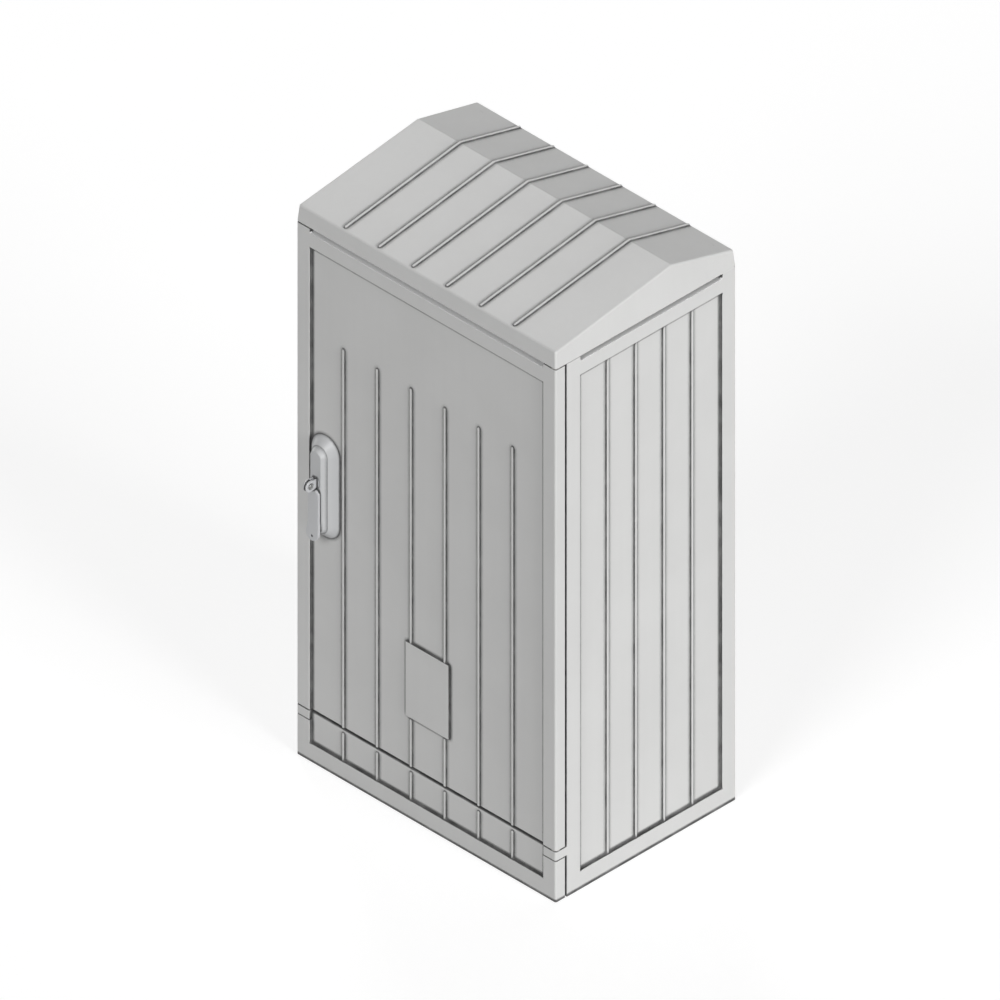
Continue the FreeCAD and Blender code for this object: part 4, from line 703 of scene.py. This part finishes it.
COATED_LEVER = Moulding(
    "grey powder-coated casting", linear(190, 191, 193), Slot.HANDLE, grime=(0.012, 0.012, 0.012),
    grime_reach=2.5 * MILLIMETRE, grime_strength=0.9, edge=linear(214, 215, 217), edge_strength=0.5,
    relief=0.2, roughness=0.34, streaks=0.0, pore_scale=2200.0, peel_scale=700.0, fibre=0.0)
BLACK_GUIDE = Moulding(
    "black polyamide guide", linear(48, 48, 50), Slot.GUIDE, grime_strength=0.4, edge=linear(96, 96, 98),
    pore_scale=1600.0, fibre=0.0)
WHITE_BUSH = Moulding(
    "natural acetal bush", linear(232, 230, 222), grime=(0.2, 0.19, 0.17), pore_scale=2000.0, fibre=0.0)
SEAL_RUBBER = Moulding(
    "black seal rubber", linear(36, 36, 38), grime_strength=0.3, edge=linear(60, 60, 62), edge_strength=0.2,
    relief=0.25, roughness=0.72, streaks=0.0, pore_scale=1800.0, fibre=0.0)
ZINC = Metal("zinc-plated steel", (0.59, 0.595, 0.585))
GALVANISED = Metal("galvanised sheet", (0.68, 0.69, 0.70), grime_strength=0.45, spangle=0.09)


# ---- Pieces


def dress(node: str, finish: Finish) -> None:
    """Gives a CAD node its finish.

    Args:
        node: The node's name.
        finish: Its finish.
    """
    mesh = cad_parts[node].data
    mesh.materials.clear()
    mesh.materials.append(finish.material())
    log.info("%s keeps its solid, in %s", node, finish.name)


def fill_from_solid(mesh: bmesh.types.BMesh, node: str) -> None:
    """Fills a bmesh with a copy of a CAD node's solid, its triangles merged into whole faces.

    Args:
        mesh: The bmesh, which is cleared first.
        node: The node's name.
    """
    mesh.clear()
    mesh.from_mesh(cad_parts[node].data)
    bmesh.ops.remove_doubles(mesh, verts=mesh.verts, dist=MERGE_REACH)
    bmesh.ops.dissolve_degenerate(mesh, edges=mesh.edges, dist=SLIVER_REACH)
    bmesh.ops.dissolve_limit(mesh, angle_limit=math.radians(FLAT_DEG), verts=mesh.verts, edges=mesh.edges)


def span_across(edge: bmesh.types.BMEdge, face: bmesh.types.BMFace) -> float:
    """How far a face reaches away from one of its edges.

    Args:
        edge: The edge.
        face: A face beside it.

    Returns:
        The reach, in metres.
    """
    start = edge.verts[0].co
    along = (edge.verts[1].co - start).normalized()
    arms = (vertex.co - start for vertex in face.verts)
    return max((arm - along * arm.dot(along)).length for arm in arms)


def gap_to(edge: bmesh.types.BMEdge, place: Vector) -> float:
    """How far a place is from an edge.

    Args:
        edge: The edge.
        place: The place.

    Returns:
        The distance, in metres.
    """
    start, end = (vertex.co for vertex in edge.verts)
    _, share = intersect_point_line(place, start, end)
    return (place - start.lerp(end, min(max(share, 0.0), 1.0))).length


def places_that_cross(mesh: bmesh.types.BMesh) -> List[Vector]:
    """Where faces that share no corner cut through each other.

    Args:
        mesh: The moulding.

    Returns:
        The middle of each such face.
    """
    mesh.faces.ensure_lookup_table()
    mesh.faces.index_update()
    faces = mesh.faces
    boxes = BVHTree.FromBMesh(mesh)
    return [faces[first].calc_center_median() for first, second in boxes.overlap(boxes)
            if first != second and not set(faces[first].verts) & set(faces[second].verts)]


def stays_crisp(edge: bmesh.types.BMEdge) -> bool:
    """Whether shading breaks at an edge: at a corner, and at a shallow fold between two wide faces.

    Args:
        edge: The edge.

    Returns:
        True where the two sides are shaded apart.
    """
    if len(edge.link_faces) != 2:
        return True
    turn = math.degrees(edge.calc_face_angle(0.0))
    wide = all(span_across(edge, face) > FOLD_REACH for face in edge.link_faces)
    return turn >= CORNER_DEG or (wide and turn > FOLD_DEG)


@dataclass(frozen=True)
class Rounding:
    """How hard corners are rounded: its width in metres, and the least angle that counts as a corner."""

    width: float
    least_deg: float = 28.0
    segments: int = 3

    def corners(self, mesh: bmesh.types.BMesh, crowded: Sequence[Vector]) -> List[bmesh.types.BMEdge]:
        """The hard corners that can be rounded without running into the next one.

        Args:
            mesh: The moulding.
            crowded: Places whose corners stay hard.

        Returns:
            The edges to round.
        """
        chosen = {
            edge for edge in mesh.edges
            if len(edge.link_faces) == 2 and edge.calc_face_angle(0.0) > math.radians(self.least_deg)
            and all(span_across(edge, face) > FACE_WIDTHS * self.width for face in edge.link_faces)
            and not any(gap_to(edge, place) < CROWD_WIDTHS * self.width for place in crowded)
        }
        dropped = True
        while dropped:
            dropped = {
                edge for edge in chosen for vertex in edge.verts
                if any(other not in chosen and other.calc_length() < EDGE_WIDTHS * self.width
                       for other in vertex.link_edges)
            }
            chosen -= dropped
        return [edge for edge in mesh.edges if edge in chosen]

    def cut(self, mesh: bmesh.types.BMesh, crowded: Sequence[Vector]) -> int:
        """Rounds the corners that have room.

        Args:
            mesh: The moulding.
            crowded: Places whose corners stay hard.

        Returns:
            How many corners are rounded.
        """
        corners = self.corners(mesh, crowded)
        bmesh.ops.bevel(mesh, geom=corners, offset=self.width, offset_type="OFFSET", affect="EDGES",
                        segments=self.segments, profile=0.5, material=-1, clamp_overlap=False)
        return len(corners)


def with_even_faces(piece: bpy.types.Object) -> None:
    """Bakes weighted normals into a piece, so that its flat faces stay flat beside their roundings.

    Args:
        piece: The piece, which gets a new mesh of the same name.
    """
    plain = piece.data
    name = plain.name
    weigh = piece.modifiers.new("even faces", "WEIGHTED_NORMAL")
    weigh.keep_sharp = True
    evened = piece.evaluated_get(bpy.context.evaluated_depsgraph_get())
    piece.data = bpy.data.meshes.new_from_object(evened)
    piece.modifiers.clear()
    bpy.data.meshes.remove(plain)
    piece.data.name = name


def finished(mesh: bmesh.types.BMesh, name: str, body: Body, finish: Finish) -> bpy.types.Object:
    """Turns a bmesh into a piece that rides on a body.

    Args:
        mesh: The shape. It is freed.
        name: The piece's name.
        body: The body it rides on.
        finish: Its finish.

    Returns:
        The new piece.
    """
    for face in mesh.faces:
        face.smooth = True
    for edge in mesh.edges:
        edge.smooth = not stays_crisp(edge)
    bmesh.ops.triangulate(mesh, faces=[face for face in mesh.faces if len(face.verts) > MOST_SIDES])
    data = bpy.data.meshes.new(name)
    mesh.to_mesh(data)
    mesh.free()
    data.materials.append(finish.material())
    piece = bpy.data.objects.new(name, data)
    bpy.context.scene.collection.objects.link(piece)
    with_even_faces(piece)
    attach(piece, body.value)
    log.info("%s: %d faces, %s", name, len(piece.data.polygons), finish.name)
    return piece


def softened(node: str, name: str, body: Body, finish: Finish, rounding: Rounding) -> None:
    """Replaces a CAD node by a copy whose hard corners are rounded, as the moulding or casting has them.

    Args:
        node: The node that the copy replaces.
        name: The new piece's name.
        body: The body it rides on.
        finish: Its finish.
        rounding: How its corners are rounded.
    """
    mesh = bmesh.new()
    crowded: List[Vector] = []
    for _ in range(ROUNDING_TRIES):
        fill_from_solid(mesh, node)
        count = rounding.cut(mesh, crowded)
        crossing = places_that_cross(mesh)
        crowded += crossing
        if not crossing:
            break
    log.info("%s: %d corners rounded, %d crossings met, %d left", node, count, len(crowded), len(crossing))
    piece = finished(mesh, name, body, finish)
    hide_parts(node)


@dataclass
class Shell:
    """The moulded walls, roof and lower panel, and the frames that tie them."""

    walls: Sequence[str] = ("roof", "left_side_wall", "right_side_wall", "rear_wall", "lower_front_panel")
    wall_rounding: Rounding = Rounding(1.1 * MILLIMETRE)
    frames: Sequence[str] = ("base_frame", "top_frame", "front_sill")
    frame_rounding: Rounding = Rounding(0.6 * MILLIMETRE)

    def build(self) -> None:
        """Makes each moulding with its rounded corners."""
        for node in self.walls:
            softened(node, f"{node}_moulding", Body.CABINET, POLYESTER, self.wall_rounding)
        for node in self.frames:
            softened(node, f"{node}_moulding", Body.CABINET, INNER_POLYESTER, self.frame_rounding)


@dataclass
class DoorLeaf:
    """The door moulding with its seal, bushes and rod guides."""

    leaf_rounding: Rounding = Rounding(1.1 * MILLIMETRE)
    guides: Sequence[str] = ("upper_rod_guide", "lower_rod_guide")
    guide_rounding: Rounding = Rounding(0.5 * MILLIMETRE)
    bushes: Sequence[str] = ("lower_hinge_bush", "upper_hinge_bush")

    def build(self) -> None:
        """Makes the leaf and what it carries."""
        softened("door", "door_moulding", Body.DOOR, POLYESTER, self.leaf_rounding)
        dress("door_seal", SEAL_RUBBER)
        for node in self.bushes:
            dress(node, WHITE_BUSH)
        for node in self.guides:
            softened(node, f"{node}_bracket", Body.DOOR, BLACK_GUIDE, self.guide_rounding)


@dataclass
class HandleSet:
    """The housing, the turning head and the lift lever."""

    housing_rounding: Rounding = Rounding(0.8 * MILLIMETRE, least_deg=24.0)
    fork_rounding: Rounding = Rounding(0.5 * MILLIMETRE)
    lever_rounding: Rounding = Rounding(0.9 * MILLIMETRE)

    def build(self) -> None:
        """Makes the three visible castings and dresses the pin."""
        softened("lock_escutcheon", "handle_housing", Body.DOOR, HANDLE_SHELL, self.housing_rounding)
        softened("handle_head", "handle_fork", Body.HANDLE, COATED_LEVER, self.fork_rounding)
        softened("lift_lever", "handle_lever", Body.LEVER, COATED_LEVER, self.lever_rounding)
        dress("lever_pin", ZINC)


@dataclass
class LockWorks:
    """The case, pinion, rods, tongue and keeper inside the door."""

    steel: Sequence[str] = (
        "lock_spindle", "lock_pinion", "lock_case", "lock_cover", "lock_tongue", "tongue_screw", "lock_screws",
        "cover_screws", "upper_rod", "lower_rod", "guide_screws", "lock_keeper", "keeper_screws")

    def build(self) -> None:
        """Dresses every steel part of the lock."""
        for node in self.steel:
            dress(node, ZINC)


@dataclass
class Fittings:
    """The mounting plate, the hinge pins and the shell's screws."""

    steel: Sequence[str] = (
        "plate_posts", "plate_screws", "base_screws", "frame_screws", "roof_screws", "wall_screws",
        "sill_screws", "panel_screws", "lower_hinge_pin", "upper_hinge_pin")

    def build(self) -> None:
        """Dresses the plate and every fastener."""
        dress("mounting_plate", GALVANISED)
        for node in self.steel:
            dress(node, ZINC)


# ---- Studio


def seen_rays(tree: Tree) -> Socket:
    """A mask of the rays that see the white background: the camera's, and those in gloss and glass.

    Args:
        tree: The tree of the floor or the sky.

    Returns:
        The mask.
    """
    path = tree.add("LightPath")
    direct = tree.result_of(Arithmetic.LARGER, path.outputs["Is Camera Ray"], path.outputs["Is Glossy Ray"])
    return tree.result_of(Arithmetic.LARGER, direct, path.outputs["Is Transmission Ray"])


@dataclass(frozen=True)
class Lamp:
    """A distant soft lamp: the direction from the object to it, and how wide it looks from there."""

    name: str
    toward: Direction
    strength: float
    spread_deg: float

    def hang(self) -> None:
        """Puts the lamp in the scene."""
        light = bpy.data.lights.new(self.name, "SUN")
        light.energy = self.strength
        light.angle = math.radians(self.spread_deg)
        lamp = bpy.data.objects.new(self.name, light)
        lamp.rotation_euler = Vector(self.toward).to_track_quat("Z", "Y").to_euler()
        bpy.context.scene.collection.objects.link(lamp)


@dataclass(frozen=True)
class Floor:
    """A pale floor that keeps the object's shadow and shows white to the camera."""

    half_width: float = 8.0
    tone: float = 0.40
    tone_spread: float = 0.01
    clouds: Grain = Grain(detail=2.0, scale=3.0)
    roughness: float = 0.9
    specular: float = 0.1
    glow: float = 0.72

    def lay(self) -> None:
        """Puts the floor under the object."""
        mesh = bmesh.new()
        bmesh.ops.create_grid(mesh, x_segments=1, y_segments=1, size=self.half_width)
        data = bpy.data.meshes.new("floor")
        mesh.to_mesh(data)
        mesh.free()
        data.materials.append(self.material())
        piece = bpy.data.objects.new("floor", data)
        bpy.context.scene.collection.objects.link(piece)

    def material(self) -> bpy.types.Material:
        """Makes the floor's material.

        Returns:
            The material.
        """
        material = bpy.data.materials.new("pale floor")
        material.use_nodes = True
        tree = Tree(material.node_tree)
        shader = material.node_tree.nodes["Principled BSDF"]
        darker, paler = ((self.tone + spread,) * 3 for spread in (-self.tone_spread, self.tone_spread))
        tree.feed(shader, "Base Color", tree.mixed(self.clouds.on(tree), darker, paler))
        tree.feed(shader, "Roughness", self.roughness)
        tree.feed(shader, "Specular IOR Level", self.specular)
        glow = tree.add("Emission", Color=WHITE, Strength=tree.times(seen_rays(tree), self.glow))
        both = tree.add("AddShader")
        tree.feed(both, "0", shader.outputs["BSDF"])
        tree.feed(both, "1", glow.outputs["Emission"])
        tree.feed(material.node_tree.nodes["Material Output"], "Surface", both.outputs["Shader"])
        return material


@dataclass(frozen=True)
class Sky:
    """An even sky that looks white to the camera."""

    ambient: float = 0.12
    seen: float = 1.0

    def spread(self) -> None:
        """Makes it the scene's world."""
        world = bpy.data.worlds.new("even sky")
        bpy.context.scene.world = world
        world.use_nodes = True
        tree = Tree(world.node_tree)
        background = world.node_tree.nodes["Background"]
        strength = tree.add("Mix", {"data_type": "FLOAT"})
        for name, value in zip((MIX_SHARE, *MIX_VALUES), (seen_rays(tree), self.ambient, self.seen)):
            tree.feed(strength, name, value)
        tree.feed(background, "Color", WHITE)
        tree.feed(background, "Strength", strength.outputs[MIXED_VALUE])


@dataclass(frozen=True)
class IsometricCamera:
    """The camera of the drawing's isometric view. Lengths are in metres."""

    azimuth_deg: float = 45.0
    elevation_deg: float = 35.264
    frame_width: float = 1.2546
    aim: Direction = (0.0, -0.0289, 0.4391)
    distance: float = 6.0
    reach: float = 50.0

    def place(self) -> None:
        """Puts the camera in the scene."""
        data = bpy.data.cameras.new("isometric")
        data.type = "ORTHO"
        data.ortho_scale = self.frame_width
        data.clip_end = self.reach
        camera = bpy.data.objects.new("isometric", data)
        azimuth, elevation = math.radians(self.azimuth_deg), math.radians(self.elevation_deg)
        toward = Vector((math.cos(elevation) * math.sin(azimuth), -math.cos(elevation) * math.cos(azimuth),
                         math.sin(elevation)))
        camera.location = Vector(self.aim) + toward * self.distance
        camera.rotation_euler = toward.to_track_quat("Z", "Y").to_euler()
        bpy.context.scene.collection.objects.link(camera)
        bpy.context.scene.camera = camera


@dataclass
class Studio:
    """The floor, the sky, the lamps and the camera."""

    floor: Floor = Floor()
    sky: Sky = Sky()
    lamps: Sequence[Lamp] = (
        Lamp("side_window", toward=(1.0, -0.05, 0.26), strength=2.60, spread_deg=24.0),
        Lamp("front_window", toward=(0.22, -1.0, 0.64), strength=1.42, spread_deg=24.0),
        Lamp("skylight", toward=(-0.577, 0.409, 0.702), strength=0.40, spread_deg=14.0),
        Lamp("left_fill", toward=(-0.99, 0.10, 0.0), strength=1.00, spread_deg=30.0),
        Lamp("rear_fill", toward=(0.10, 1.0, 0.0), strength=0.54, spread_deg=24.0),
    )
    camera: IsometricCamera = IsometricCamera()

    def build(self) -> None:
        """Sets up the studio."""
        self.floor.lay()
        self.sky.spread()
        for lamp in self.lamps:
            lamp.hang()
        self.camera.place()
        bpy.context.scene.view_settings.view_transform = "Standard"
        log.info("studio: %d lamps, floor, sky and camera", len(self.lamps))


def main() -> None:
    """Builds every sub-assembly, then the studio."""
    logging.basicConfig(level=logging.INFO, format="%(name)s: %(message)s")
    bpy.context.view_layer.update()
    for part in (Shell(), DoorLeaf(), HandleSet(), LockWorks(), Fittings(), Studio()):
        part.build()


if __name__ == "__main__":
    main()
